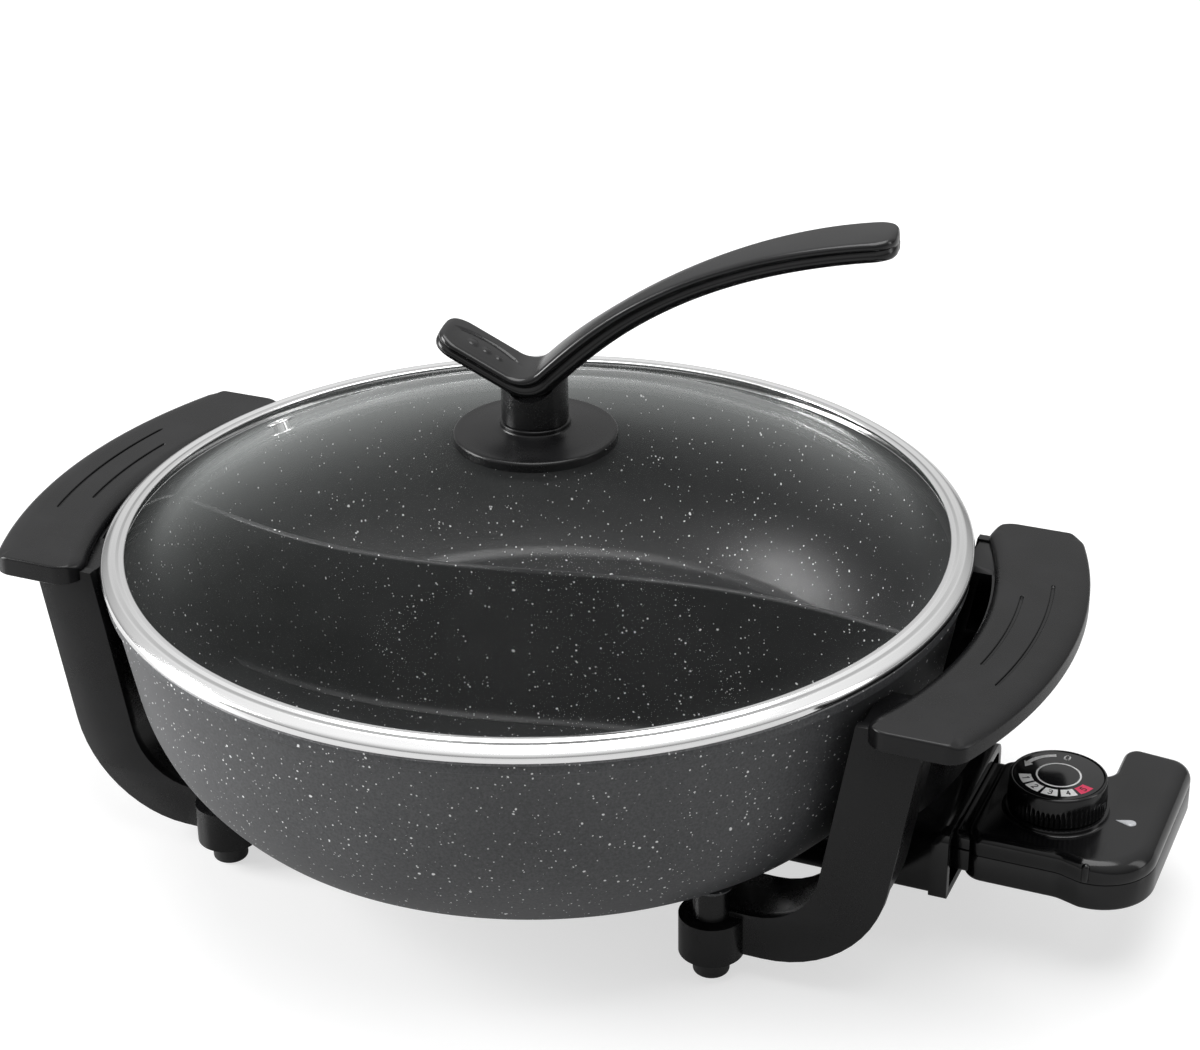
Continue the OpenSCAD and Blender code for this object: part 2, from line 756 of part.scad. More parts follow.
module bracket() {
    apron_angle = asin((leg_y_in + 2) / apron_r);
    apron_x = sqrt(pow(apron_r, 2) - pow(grip_screw_y + lug_d / 2, 2)) - 2;
    color("#1c1c1c") difference() {
        union() {
            on_both_sides() {
                leg_bar(0, foot_y - leg_plate_t, foot_y);
                leg_bar(leg_set_back, leg_y_in, foot_y - leg_plate_t + join);
                rod_z(foot_x, foot_y, foot_h, boss_top_z, boss_d);
                rod_z(foot_x, foot_y, boss_top_z - join, base_z - pad_h, column_d);
                // Lug under the grip for its screw
                rod_z(lug_r, grip_screw_y, lug_top_z - lug_t, lug_top_z, lug_d);
                translate([apron_x, grip_screw_y - lug_d / 2, lug_top_z - lug_t])
                    cube([lug_r - apron_x, lug_d, lug_t]);
            }
            rotate([0, 0, -apron_angle]) rotate_extrude(angle = 2 * apron_angle, $fn = large_fn)
                translate([apron_r - apron_t, apron_low_z])
                    square([apron_t, grip_under_z - join - apron_low_z]);
        }
        pan_envelope(leg_gap);
        on_both_sides() {
            // The leg is hollow, open towards the middle
            difference() {
                leg_bar(leg_wall, leg_y_in - join, foot_y - leg_wall);
                pan_envelope(leg_gap + leg_wall);
                rod_z(foot_x, foot_y, 0, base_z, boss_d);
                // Cross webs inside the hollow leg
                for (z = [60, 88]) translate([0, 0, z]) cube([pan_r + leg_proud, foot_y, 3]);
            }
            rod_z(foot_x, foot_y, 0, base_z, screw_d + 2 * screw_gap);
            rod_z(foot_x, foot_y, foot_h - join, leg_screw_head_z + screw_head_h, foot_plug_d);
            rod_z(lug_r, grip_screw_y, lug_top_z - lug_t - join, grip_under_z, screw_d + 2 * screw_gap);
        }
    }
}

module right_bracket() { bracket(); }
module left_bracket() { mirror([1, 0, 0]) bracket(); }

// ---- Grips ----

// Crescent outline of a grip seen from above, moved inwards by d
function grip_outline(d) =
    let(
        r = grip_corner,
        y = grip_half - r,
        out_x = sqrt(pow(grip_r_out - r, 2) - y * y),
        in_x = sqrt(pow(grip_r_in + r, 2) - y * y),
        out_a = atan2(y, out_x),
        in_a = atan2(y, in_x),
        upper = concat(
            arc([out_x, y], r - d, out_a, 90, 6),
            arc([in_x, y], r - d, 90, 180 + in_a, 8)
        ),
        lower = [for (p = reversed(upper)) [p[0], -p[1]]]
    )
    concat(
        [for (p = arc([0, 0], grip_r_out - d, -out_a, out_a, 24)) if (abs(p[1]) < y * (grip_r_out - d) / (grip_r_out - r) - 0.5) p],
        upper,
        [for (p = arc([0, 0], grip_r_in + d, in_a, -in_a, 20)) if (abs(p[1]) < y * (grip_r_in + d) / (grip_r_in + r) - 0.5) p],
        lower
    );

// Width and fall of the top edge at a point of that outline, of which n points outwards: wide
// slopes on the outer and inner sides, and a small rounding at the ends
function grip_edge(p, n) =
    let(
        away = n * unit(p),
        outer = soft_step(away, 0.55, 0.97),
        inner = soft_step(-away, 0.2, 0.9)
    )
    [grip_round + (outer_slope_w - grip_round) * outer + (inner_slope_w - grip_round) * inner,
     grip_round + (outer_slope_h - grip_round) * outer + (inner_slope_h - grip_round) * inner];

module grip() {
    outline = grip_outline(0);
    count = len(outline);
    edges = [for (i = [0:count - 1])
        let(along = unit(outline[(i + 1) % count] - outline[(i + count - 1) % count]))
        grip_edge(outline[i], [along[1], -along[0]])];
    color("#1c1c1c") difference() {
        slab(rounded_top(outline, edges, grip_top_z), grip_low_z, grip_top_z);
        difference() {
            translate([0, 0, grip_low_z - join])
                linear_extrude(grip_under_z - grip_low_z + join) polygon(grip_outline(grip_wall));
            on_both_sides() rod_z(lug_r, grip_screw_y, lug_top_z, grip_top_z, lug_d);
        }
        // The inner edge stops short of the bracket, which stands under the grip
        translate([0, -foot_y - 0.3, grip_low_z - join])
            cube([leg_top_x + 0.3, 2 * (foot_y + 0.3), grip_under_z - grip_low_z + join]);
        on_both_sides() rod_z(lug_r, grip_screw_y, lug_top_z - join, grip_under_z + 2, screw_d);
        for (i = [0, 1]) {
            r = grip_r_out - groove_out - i * groove_pitch;
            half = groove_angle - 3.2 * i;
            rotate([0, 0, -half]) rotate_extrude(angle = 2 * half, $fn = large_fn)
                translate([r - groove_w / 2, grip_top_z - groove_h]) square([groove_w, groove_h + join]);
        }
    }
}

module right_grip() { grip(); }
module left_grip() { mirror([1, 0, 0]) grip(); }

module grip_screws() {
    color("silver") for (s = [0, 1]) mirror([s, 0, 0]) on_both_sides()
        screw_up(lug_r, grip_screw_y, lug_top_z - lug_t, grip_under_z + 1.8);
}

module leg_screws() {
    color("silver") on_four_feet()
        screw_up(0, 0, leg_screw_head_z + screw_head_h, leg_screw_tip_z);
}

// ---- Feet ----

module foot(x, y) {
    color("#0c0c0c") translate([x, y, 0]) rotate_extrude($fn = small_fn)
        polygon([[0, 0], [foot_d / 2 - 1.5, 0], [foot_d / 2, 1.5], [foot_d / 2, foot_h],
                 [foot_plug_d / 2, foot_h], [foot_plug_d / 2, foot_h + foot_plug_h], [0, foot_h + foot_plug_h]]);
}

module foot_front_right() { foot(foot_x, -foot_y); }
module foot_front_left() { foot(-foot_x, -foot_y); }
module foot_rear_right() { foot(foot_x, foot_y); }
module foot_rear_left() { foot(-foot_x, foot_y); }

// ---- Thermostat ----

// Outline of the case seen from above
case_corner = 8;
case_outline = rounded([
    [case_x, -neck_half, case_corner],
    [case_far_x - arm_w - 6, -neck_half, 12],
    [case_far_x - arm_w + 3, -neck_half - shoulder, 8],
    [case_far_x, -neck_half - shoulder, 22],
    [case_far_x, arm_len, 8],
    [case_far_x - arm_w, arm_len, 6],
    [case_far_x - arm_w, neck_half, 7],
    [case_x, neck_half, case_corner]
], 9);
// Rounding of the top edge at each point of that outline: it widens over the arm's width
case_edges = [for (p = case_outline)
    let(r = case_round + (case_far_round - case_round) * soft_step(p[0], case_far_x - arm_w, case_far_x))
    [r, r]];

// The nose in Y and Z, moved inwards by d
module nose_shape(d) {
    polygon(rounded([[-nose_half + d, nose_low_z + d, 2], [nose_half - d, nose_low_z + d, 2],
                     [nose_half - d, nose_top_z - d, 3], [-nose_half + d, nose_top_z - d, 3]]));
}

// Space for everything inside the case, from z0 to z1
module case_hollow(z0, z1) {
    translate([0, 0, z0]) linear_extrude(z1 - z0) polygon(inset(case_outline, case_wall));
}

module case_screw_bosses(z0, z1) {
    for (p = case_screw_spots) rod_z(p[0], p[1], z0, z1, case_screw_boss_d);
}

module teardrop(d) {
    r = lens_w / 2 + d;
    long = lens_len - lens_w;
    side = acos(r / (long + lens_w / 2 + d));
    polygon(concat(arc([0, 0], r, side - 180, 180 - side, 16), [[-long - lens_w / 2 - d, 0]]));
}

module case_top() {
    nub_d = 3;
    pointer_y = dial_step_d / 2;
    color("#0e0e0e") difference() {
        union() {
            difference() {
                slab(rounded_top(case_outline, case_edges, case_top_z), case_seam_z, case_top_z);
                difference() {
                    case_hollow(case_seam_z - join, case_top_z - case_wall);
                    case_screw_bosses(case_seam_z, case_top_z);
                }
            }
            rod_z(dial_cx, 0, case_top_z - join, case_top_z + dial_step_h, dial_step_d);
            // Nub on the near side
            rod_z(case_far_x - 22, -neck_half - shoulder + nub_d / 2 - 1.2, case_seam_z, case_top_z - 0.2, nub_d);
            // Pointer that the dial's numbers are read against
            translate([dial_cx, pointer_y - 0.5, case_top_z - join])
                linear_extrude(join + 0.8) polygon([[-2.5, 5], [0, 0], [2.5, 5]]);
            // Upper half of the nose
            intersection() {
                along_x(nose_x, nose_root_x) nose_shape(0);
                translate([nose_x - join, -neck_half, case_seam_z])
                    cube([nose_root_x - nose_x + 2 * join, 2 * neck_half, case_h]);
            }
        }
        along_x(nose_x + case_wall, nose_root_x + join) nose_shape(case_wall);
        rod_z(dial_cx, 0, case_seam_z, dial_low_z, shaft_d + 2 * shaft_gap);
        translate([lens_cx, 0, case_top_z - case_wall - join])
            linear_extrude(case_wall + 2 * join) teardrop(0.1);
        nose_bores();
        gland_seat();
        for (p = case_screw_spots) rod_z(p[0], p[1], case_seam_z - join, case_top_z - case_wall - 1, case_screw_d);
    }
}

module case_bottom() {
    foot_round = 1.5;
    color("#0e0e0e") difference() {
        union() {
            difference() {
                slab([at_height(inset(case_outline, foot_round), case_low_z),
                      at_height(case_outline, case_low_z + foot_round)], case_low_z, case_seam_z);
                difference() {
                    case_hollow(case_low_z + case_wall, case_seam_z + join);
                    case_screw_bosses(case_low_z, case_seam_z);
                }
            }
            intersection() {
                along_x(nose_x, nose_root_x) nose_shape(0);
                translate([nose_x - join, -neck_half, 0])
                    cube([nose_root_x - nose_x + 2 * join, 2 * neck_half, case_seam_z]);
            }
        }
        along_x(nose_x + case_wall, nose_root_x + join) nose_shape(case_wall);
        nose_bores();
        gland_seat();
        for (p = case_screw_spots) {
            rod_z(p[0], p[1], case_low_z, case_seam_z + join, case_screw_d + 2 * screw_gap);
            rod_z(p[0], p[1], case_low_z - join, case_low_z + 2.5, 5.6);
        }
    }
}

// Openings in the nose for the pins' sleeves and the probe
module nose_bores() {
    on_both_sides() rod_x(nose_x - join, nose_x + case_wall + join, contact_d, pin_y, pin_z);
    rod_x(nose_x - join, nose_x + case_wall + join, probe_d, 0, pin_z);
}

// Seat of the cord gland in the arm's end
module gland_seat() {
    translate([gland_cx, arm_len - case_wall - join, gland_z]) rotate([-90, 0, 0])
        cylinder(h = case_wall + 2 * join, d = gland_d, $fn = small_fn);
}

module cord_gland() {
    collar = 1.2;
    translate([gland_cx, arm_len, gland_z]) rotate([90, 0, 0]) color("#0a0a0a") difference() {
        union() {
            cylinder(h = gland_len, d = gland_d, $fn = small_fn);
            translate([0, 0, case_wall + 0.05]) cylinder(h = collar, d = gland_d + 1.4, $fn = small_fn);
        }
        translate([0, 0, -join]) cylinder(h = gland_len + 2 * join, d = gland_bore_d, $fn = small_fn);
    }
}

contact_len = 24;

module contact_sleeves() {
    end_t = 2;
    color("#c9a04a") on_both_sides() difference() {
        rod_x(nose_x, nose_x + contact_len, contact_d, pin_y, pin_z);
        rod_x(nose_x - join, nose_x + contact_len - end_t, pin_d + 2 * contact_gap, pin_y, pin_z);
    }
}

frame_x = guard_x + 6;
frame_len = 42;
frame_t = 1.5;
frame_half = 8;
frame_low_z = pin_z - 4.5;

module probe_rod() {
    tip = 2;
    color("silver") {
        rod_x(nose_x - probe_len + tip, frame_x, probe_d, 0, pin_z);
        translate([nose_x - probe_len, 0, pin_z]) rotate([0, 90, 0])
            cylinder(h = tip, d1 = probe_d - 2 * tip, d2 = probe_d, $fn = small_fn);
    }
}

module thermostat_frame() {
    color("#9a9a9a") {
        // Upright plate behind the probe and the flat strip that carries the switch
        translate([frame_x, -frame_half, frame_low_z]) cube([frame_t, 2 * frame_half, 9]);
        difference() {
            translate([frame_x + frame_t, -frame_half, frame_low_z])
                cube([frame_len - frame_t, 2 * frame_half, frame_t]);
            rod_z(frame_x + frame_len - 5, 0, 0, base_z, 3);
        }
    }
}

module contact_blades() {
    blade_t = 0.8;
    blade_w = 4;
    reach = 36;
    color("#b87333") on_both_sides() {
        translate([nose_x + contact_len, pin_y - blade_w / 2, pin_z]) cube([reach, blade_w, blade_t]);
        // Silver contact point near the blade's free end
        rod_z(nose_x + contact_len + reach - 4, pin_y, pin_z + blade_t, pin_z + blade_t + 1, 3);
    }
}

module pilot_lamp() {
    lamp_d = 4;
    color("orangered") rod_x(lens_cx - 8, lens_cx + 4, lamp_d, 0, case_top_z - case_wall - 3);
}

module pilot_lens() {
    color("whitesmoke") translate([lens_cx, 0, case_top_z - case_wall])
        linear_extrude(case_wall + 0.3) teardrop(0);
}

module case_screws() {
    color("silver") for (p = case_screw_spots)
        screw_up(p[0], p[1], case_low_z + 2.5, case_top_z - case_wall - 1.5, case_screw_d, 5.2, 1.8);
}

// ---- Dial ----

module dial_knob() {
    r = dial_d / 2;
    edge = 0.8;
    band_z = dial_low_z + rib_band_h;
    color("#0e0e0e") difference() {
        union() {
            // Ribbed band
            translate([dial_cx, 0, dial_low_z]) linear_extrude(rib_band_h)
                polygon([for (i = [0:2 * rib_count - 1]) let(a = 180 * i / rib_count, q = r - rib_depth * (i % 2))
                    [q * cos(a), q * sin(a)]]);
            // Plain band above it, with a core that reaches down into the ribbed one
            translate([dial_cx, 0, 0]) rotate_extrude($fn = 96)
                polygon([[0, band_z - join], [r - 2 * rib_depth, band_z - join], [r - 2 * rib_depth, band_z],
                         [r - rib_depth, band_z], [r, band_z + 1], [r, dial_top_z - edge], [r - edge, dial_top_z],
                         [0, dial_top_z]]);
        }
        rod_z(dial_cx, 0, dial_top_z - dial_face_t, dial_top_z + join, dial_face_d);
        rod_z(dial_cx, 0, dial_low_z - join, shaft_top_z, shaft_d);
        // Hollow under the dial, round its hub
        translate([dial_cx, 0, dial_low_z - join]) difference() {
            cylinder(h = 6 + join, d = dial_d - 6, $fn = small_fn);
            cylinder(h = 6 + join, d = shaft_d + 5, $fn = small_fn);
        }
    }
}

module dial_face() {
    color("#050505") rod_z(dial_cx, 0, dial_top_z - dial_face_t, dial_top_z - 0.1, dial_face_d);
}

module dial_shaft() {
    color("silver") rod_z(dial_cx, 0, shaft_low_z, shaft_top_z, shaft_d);
}

// ---- Lid ----

// One face of the glass, moved outwards by d, from the middle to the flat edge
function dome_line(d) = concat(
    [for (i = [0:12]) let(a = dome_turn * i / 12)
        [(dome_r + d) * sin(a), dome_cz + (dome_r + d) * cos(a)]],
    [for (i = [1:6]) let(a = dome_turn * (1 - i / 6))
        [glass_flat_r - (glass_bend_r - d) * sin(a),
         glass_top_z + glass_bend_r - (glass_bend_r - d) * cos(a)]]
);

// Puts children on the glass at the steam vent, with their Z square to it
module at_vent() {
    rotate([0, 0, vent_angle]) translate([0, 0, dome_cz]) rotate([0, vent_tilt, 0])
        translate([0, 0, dome_r]) children();
}

module lid_glass() {
    color([0.8, 0.9, 0.9, 0.35]) difference() {
        rotate_extrude($fn = large_fn) polygon(concat(
            dome_line(0),
            [[glass_edge_r, glass_top_z], [glass_edge_r, glass_top_z - glass_t]],
            reversed(dome_line(-glass_t))
        ));
        rod_z(0, 0, glass_top_z, dome_top_z + join, glass_hole_d);
        at_vent() translate([0, 0, -glass_t - join]) cylinder(h = glass_t + 2 * join, d = vent_d, $fn = small_fn);
    }
}

module lid_ring() {
    round = 2.2;
    in_r = ring_r - bead_w;
    under = glass_top_z - glass_t;
    color("silver") rotate_extrude($fn = large_fn) polygon(concat(
        [[skirt_r - ring_t, seat_z - skirt_h], [skirt_r, seat_z - skirt_h], [skirt_r, seat_z]],
        arc([ring_r - round, seat_z + round], round, -90, 0, 4),
        arc([ring_r - round, bead_top_z - round], round, 0, 90, 4),
        [[in_r, bead_top_z], [in_r, glass_top_z], [glass_edge_r, glass_top_z], [glass_edge_r, under],
         [skirt_r - ring_t, under]]
    ));
}

module vent_eyelet() {
    lip = 0.8;
    low_gap = 0.2;
    color("silver") at_vent() difference() {
        union() {
            translate([0, 0, -glass_t - lip]) cylinder(h = glass_t + 2 * lip, d = vent_d, $fn = small_fn);
            translate([0, 0, 0.05]) cylinder(h = lip, d = vent_flange_d, $fn = small_fn);
            translate([0, 0, -glass_t - lip - low_gap]) cylinder(h = lip, d = vent_flange_d, $fn = small_fn);
        }
        translate([0, 0, -glass_t - 3]) cylinder(h = glass_t + 6, d = vent_bore_d, $fn = small_fn);
    }
}

module knob_flange() {
    r = flange_d / 2;
    seat = asin(r / dome_r);
    edge_z = dome_cz + dome_r * cos(seat);
    color("#151515") difference() {
        rotate_extrude($fn = 96) polygon(concat(
            [for (i = [0:6]) let(a = seat * i / 6) [dome_r * sin(a), dome_cz + dome_r * cos(a)]],
            [[r, edge_z + flange_edge_t - 0.8], [r - 0.8, edge_z + flange_edge_t],
             [post_d / 2 + 4, flange_top_z - 0.6], [post_d / 2, flange_top_z], [0, flange_top_z]]
        ));
        rod_z(0, 0, dome_top_z - join, flange_top_z + join, lid_screw_d);
    }
}

// ---- Handle of the lid ----
// Its underside runs in an upright plane: up the short arm, round the bend and along the long arm.
// A station is [along, up, heading, width, thickness].

bend_start = [-handle_bend_r * sin(short_arm_rise), handle_bend_r * (1 - cos(short_arm_rise))];
bend_end = [handle_bend_r * sin(long_arm_start), handle_bend_r * (1 - cos(long_arm_start))];
function blend(a, b, t) = a + (b - a) * (1 - cos(180 * max(0, min(1, t)))) / 2;

short_arm = [for (s = [0, 0.04, 0.12, 0.35, 0.6, 0.85])
    let(run = short_arm_len * (1 - s))
    [bend_start[0] - run * cos(short_arm_rise), bend_start[1] + run * sin(short_arm_rise),
     -short_arm_rise, handle_w, short_arm_t]];
bend = [for (i = [0:8])
    let(h = -short_arm_rise + (short_arm_rise + long_arm_start) * i / 8)
    [handle_bend_r * sin(h), handle_bend_r * (1 - cos(h)), h,
     handle_w - 2 * i / 8, blend(short_arm_t, long_arm_t, i / 8)]];
long_arm = [for (i = [1:22])
    let(
        t = i / 22,
        h = long_arm_start + (long_arm_end - long_arm_start) * t,
        w = t < 0.28 ? blend(handle_w - 2, handle_waist_w, t / 0.28)
                     : blend(handle_waist_w, handle_tip_w, (t - 0.28) / 0.62)
    )
    [bend_end[0] + long_arm_r * (sin(long_arm_start) - sin(h)),
     bend_end[1] + long_arm_r * (cos(h) - cos(long_arm_start)), h, w,
     blend(long_arm_t, long_arm_t - 1, t)]];
stations = concat(short_arm, bend, long_arm);

// Cross-section of the handle: two rounded lobes, one over the other
function handle_section(w, t) =
    let(half = [[w / 2 - 2.5, 0], [w / 2 - 0.9, 1.2], [w / 2 - 0.7, 0.45 * t], [w / 2 - 1.8, 0.56 * t],
                [w / 2 - 0.4, 0.66 * t], [w / 2, 0.8 * t], [w / 2 - 0.9, 0.95 * t], [w / 2 - 3, t],
                [0, t + 0.4]])
    concat(half, [for (i = [len(half) - 2:-1:0]) [-half[i][0], half[i][1]]]);

// How much an end station shrinks, for round ends
function end_scale(i) =
    i == 0 || i == len(stations) - 1 ? 0.55 : i == 1 || i == len(stations) - 2 ? 0.9 : 1;

handle_rings = [for (i = [0:len(stations) - 1])
    let(st = stations[i], k = end_scale(i), mid = st[4] / 2)
    [for (p = handle_section(st[3], st[4]))
        let(across = k * p[0], up = mid + k * (p[1] - mid))
        [st[0] - up * sin(st[2]), across, st[1] + up * cos(st[2])]]];

module lid_handle() {
    color("#151515") translate([0, 0, bend_low_z]) rotate([0, 0, handle_angle]) skin(handle_rings);
}

module knob_post() {
    // Side view of the space over the handle's underside
    seat = concat(
        [for (st = concat([short_arm[0]], bend, [long_arm[3]])) [st[0], st[1]]],
        [[60, 60], [-60, 60]]
    );
    color("#1a1a1a") difference() {
        union() {
            rod_z(0, 0, flange_top_z, bend_low_z + post_d / 2, post_d);
            rod_z(0, 0, flange_top_z, flange_top_z + 1.5, post_d + 1.6);
        }
        translate([0, 0, bend_low_z]) rotate([0, 0, handle_angle]) translate([0, post_d, 0])
            rotate([90, 0, 0]) linear_extrude(2 * post_d) polygon(seat);
        rod_z(0, 0, flange_top_z - join, flange_top_z + post_h - 2, lid_screw_d);
    }
}

module lid_washer() {
    color("gainsboro") difference() {
        rod_z(0, 0, lid_washer_top_z - lid_washer_t, lid_washer_top_z, lid_washer_d);
        rod_z(0, 0, glass_top_z, dome_top_z, lid_screw_d);
    }
}

module lid_screw() {
    color("silver")
        screw_up(0, 0, lid_washer_top_z - lid_washer_t, flange_top_z + post_h - 2.5, lid_screw_d, 11, 3);
}

pan_body();
divider_wall();
heater_tube();
terminal_pins();
ceramic_collars();
probe_sleeve();
socket_guard();
guard_screws();
right_bracket();
left_bracket();
right_grip();
left_grip();
grip_screws();
leg_screws();
foot_front_right();
foot_front_left();
foot_rear_right();
foot_rear_left();
case_top();
case_bottom();
contact_sleeves();
probe_rod();
thermostat_frame();
contact_blades();
pilot_lamp();
pilot_lens();
case_screws();
cord_gland();
dial_knob();
dial_face();
dial_shaft();
lid_glass();
lid_ring();
vent_eyelet();
knob_flange();
knob_post();
lid_handle();
lid_washer();
lid_screw();
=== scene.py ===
"""Looks of the electric hot pot: its finished surfaces, materials, light and camera.

Lengths are in millimetres until a mesh is made. The origin is on the pan's axis at table
height, +X points towards the thermostat and +Z up.
"""

import math

import bpy
import numpy as np
from mathutils import Matrix


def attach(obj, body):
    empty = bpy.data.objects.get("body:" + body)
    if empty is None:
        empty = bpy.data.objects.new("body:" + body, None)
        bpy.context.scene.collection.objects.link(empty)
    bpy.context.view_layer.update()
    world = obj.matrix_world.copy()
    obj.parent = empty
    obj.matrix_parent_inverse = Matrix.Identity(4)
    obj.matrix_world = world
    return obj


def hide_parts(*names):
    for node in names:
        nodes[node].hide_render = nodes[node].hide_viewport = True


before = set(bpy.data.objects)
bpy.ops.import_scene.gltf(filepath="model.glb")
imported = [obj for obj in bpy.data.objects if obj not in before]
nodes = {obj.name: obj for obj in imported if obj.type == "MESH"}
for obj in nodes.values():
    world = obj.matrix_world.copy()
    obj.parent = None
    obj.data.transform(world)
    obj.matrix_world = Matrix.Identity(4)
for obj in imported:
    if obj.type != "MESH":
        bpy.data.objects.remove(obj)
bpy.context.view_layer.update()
MM = 0.001

# ---------------- meshes


def arc(centre, radius, start, end, steps):
    """Points on a circle's arc from start to end, in degrees."""
    a = np.radians(np.linspace(start, end, steps + 1))
    return np.stack([centre[0] + radius * np.cos(a), centre[1] + radius * np.sin(a)], axis=1)


def rounded(corners, steps=8):
    """A closed outline through corners (x, y, radius): each corner is replaced by the arc that
    touches both of its sides."""
    out = []
    points = np.array([c[:2] for c in corners], float)
    for i, (x, y, radius) in enumerate(corners):
        here = np.array([x, y], float)
        u = points[i - 1] - here
        v = points[(i + 1) % len(points)] - here
        u, v = u / np.linalg.norm(u), v / np.linalg.norm(v)
        if radius == 0:
            out.append(here[None])
            continue
        half = math.acos(float(u @ v)) / 2
        middle = here + (u + v) / np.linalg.norm(u + v) * radius / math.sin(half)
        first = here + u * radius / math.tan(half) - middle
        turn = (180 - 2 * math.degrees(half)) * np.sign(v[0] * u[1] - v[1] * u[0])
        a0 = math.degrees(math.atan2(first[1], first[0]))
        out.append(arc(middle, radius, a0, a0 + turn, steps))
    return np.concatenate(out)


def inward(outline):
    """The inward normal at each point of an anticlockwise outline, square to the line between
    the point's two neighbours."""
    along = np.roll(outline, -1, axis=0) - np.roll(outline, 1, axis=0)
    across = np.stack([-along[:, 1], along[:, 0]], axis=1)
    return across / np.linalg.norm(along, axis=1, keepdims=True)


def inset(outline, depth):
    """An anticlockwise outline moved inwards along its normals."""
    return outline + depth * inward(outline)


def swung(x, y, degrees):
    """Coordinates turned anticlockwise round the origin."""
    c, s = math.cos(math.radians(degrees)), math.sin(math.radians(degrees))
    return x * c - y * s, x * s + y * c


def turned(profile, steps, centre=(0.0, 0.0)):
    """A ring of points for each point (radius, height) of a profile, round an upright axis."""
    profile = np.asarray(profile, float)
    a = np.linspace(0, 2 * np.pi, steps, endpoint=False)
    r, z = profile[:, :1], np.broadcast_to(profile[:, 1:], (len(profile), steps))
    return np.stack([centre[0] + r * np.cos(a), centre[1] + r * np.sin(a), z], axis=-1)


def grid_faces(rows, columns, wrap_rows):
    """Quads of a grid of points, numbered row by row. Each row closes, and the last row may
    meet the first."""
    r = np.arange(rows if wrap_rows else rows - 1)[:, None]
    c = np.arange(columns)[None, :]
    r2, c2 = (r + 1) % rows, (c + 1) % columns
    corners = [r * columns + c, r * columns + c2, r2 * columns + c2, r2 * columns + c]
    return np.stack(corners, axis=-1).reshape(-1, 4)


def volume_of(points, quads, caps):
    """Six times the volume that the faces enclose: positive if they face outwards."""
    a, b, c, d = (points[quads[:, i]] for i in range(4))
    total = np.sum(a * np.cross(b, c)) + np.sum(a * np.cross(c, d))
    for ring in (points[cap] for cap in caps):
        total += np.sum(ring[0] * np.cross(ring[1:-1], ring[2:]))
    return total


class Surface:
    """Points in millimetres and faces, with a material number for each face."""

    def __init__(self):
        self.points, self.faces, self.paint, self.count = [], [], [], 0

    def add(self, points, quads, caps=(), paint=0):
        """Adds one closed piece. Its faces are turned outwards as a whole."""
        points = np.asarray(points, float).reshape(-1, 3)
        caps = [list(cap) for cap in caps]
        if volume_of(points, quads, caps) < 0:
            quads, caps = quads[:, ::-1], [cap[::-1] for cap in caps]
        self.faces += (quads + self.count).tolist()
        self.faces += [[i + self.count for i in cap] for cap in caps]
        self.paint += np.broadcast_to(paint, len(quads) + len(caps)).tolist()
        self.points.append(points)
        self.count += len(points)
        return self

    def revolve(self, profile, steps=256, centre=(0.0, 0.0)):
        """A closed profile of (radius, height) points turned round an upright axis."""
        points = turned(profile, steps, centre).transpose(1, 0, 2)
        return self.add(points, grid_faces(steps, len(profile), True))

    def spin(self, profile, steps=96, centre=(0.0, 0.0), paint=0):
        """An open profile of (radius, height) points, turned round an upright axis and closed by
        a flat face at each end. Its ends lie off the axis."""
        return self.stack(turned(profile, steps, centre), paint)

    def stack(self, rings, paint=0):
        """Rings of equal counts skinned one over the other, closed by a face at each end."""
        rings = np.asarray(rings, float)
        m, n = rings.shape[:2]
        last = (m - 1) * n
        caps = [range(n - 1, -1, -1), range(last, last + n)]
        return self.add(rings, grid_faces(m, n, False), caps, paint)

    def make(self, name, body, materials, smooth=35.0, slot=None, replaces=()):
        """The Blender object, in metres, riding on its body."""
        piece = self.loose(name)
        piece.data.polygons.foreach_set("material_index", np.array(self.paint, np.int32))
        finish_mesh(piece.data, materials, smooth)
        return placed(piece, body, replaces)

    def loose(self, name):
        """The Blender object, not yet placed on a body."""
        mesh = bpy.data.meshes.new(name)
        mesh.from_pydata((np.concatenate(self.points) * MM).tolist(), [], self.faces)
        return linked(name, mesh)


def linked(name, data):
    """A new object on that mesh, lamp or camera, in the scene."""
    piece = bpy.data.objects.new(name, data)
    bpy.context.scene.collection.objects.link(piece)
    return piece


def finish_mesh(mesh, materials, smooth):
    """Materials and shading: faces are smooth except over edges sharper than the angle."""
    for material in materials:
        mesh.materials.append(material)
    mesh.polygons.foreach_set("use_smooth", np.ones(len(mesh.polygons), bool))
    mesh.set_sharp_from_angle(angle=math.radians(smooth))
    mesh.validate()
    mesh.update()


def placed(piece, body, replaces=()):
    """The piece on its body and in place of the CAD nodes it shows."""
    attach(piece, body)
    if replaces:
        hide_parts(*replaces)
    return piece


def at_height(outline, z):
    """A flat outline as points at height z."""
    return np.column_stack([outline, np.full(len(outline), float(z))])


def box(x, y, z):
    """A box as two rings, from its lowest and highest x, y and z."""
    square = np.array([(x[0], y[0]), (x[1], y[0]), (x[1], y[1]), (x[0], y[1])])
    return np.stack([at_height(square, z[0]), at_height(square, z[1])])


def across_x(outline, x):
    """An outline drawn in Y and Z as points at x."""
    return np.column_stack([np.full(len(outline), float(x)), outline])


def settled(piece):
    """The piece with its modifiers applied to its mesh."""
    graph = bpy.context.evaluated_depsgraph_get()
    graph.update()
    mesh = bpy.data.meshes.new_from_object(piece.evaluated_get(graph))
    piece.modifiers.clear()
    piece.data = mesh
    return piece


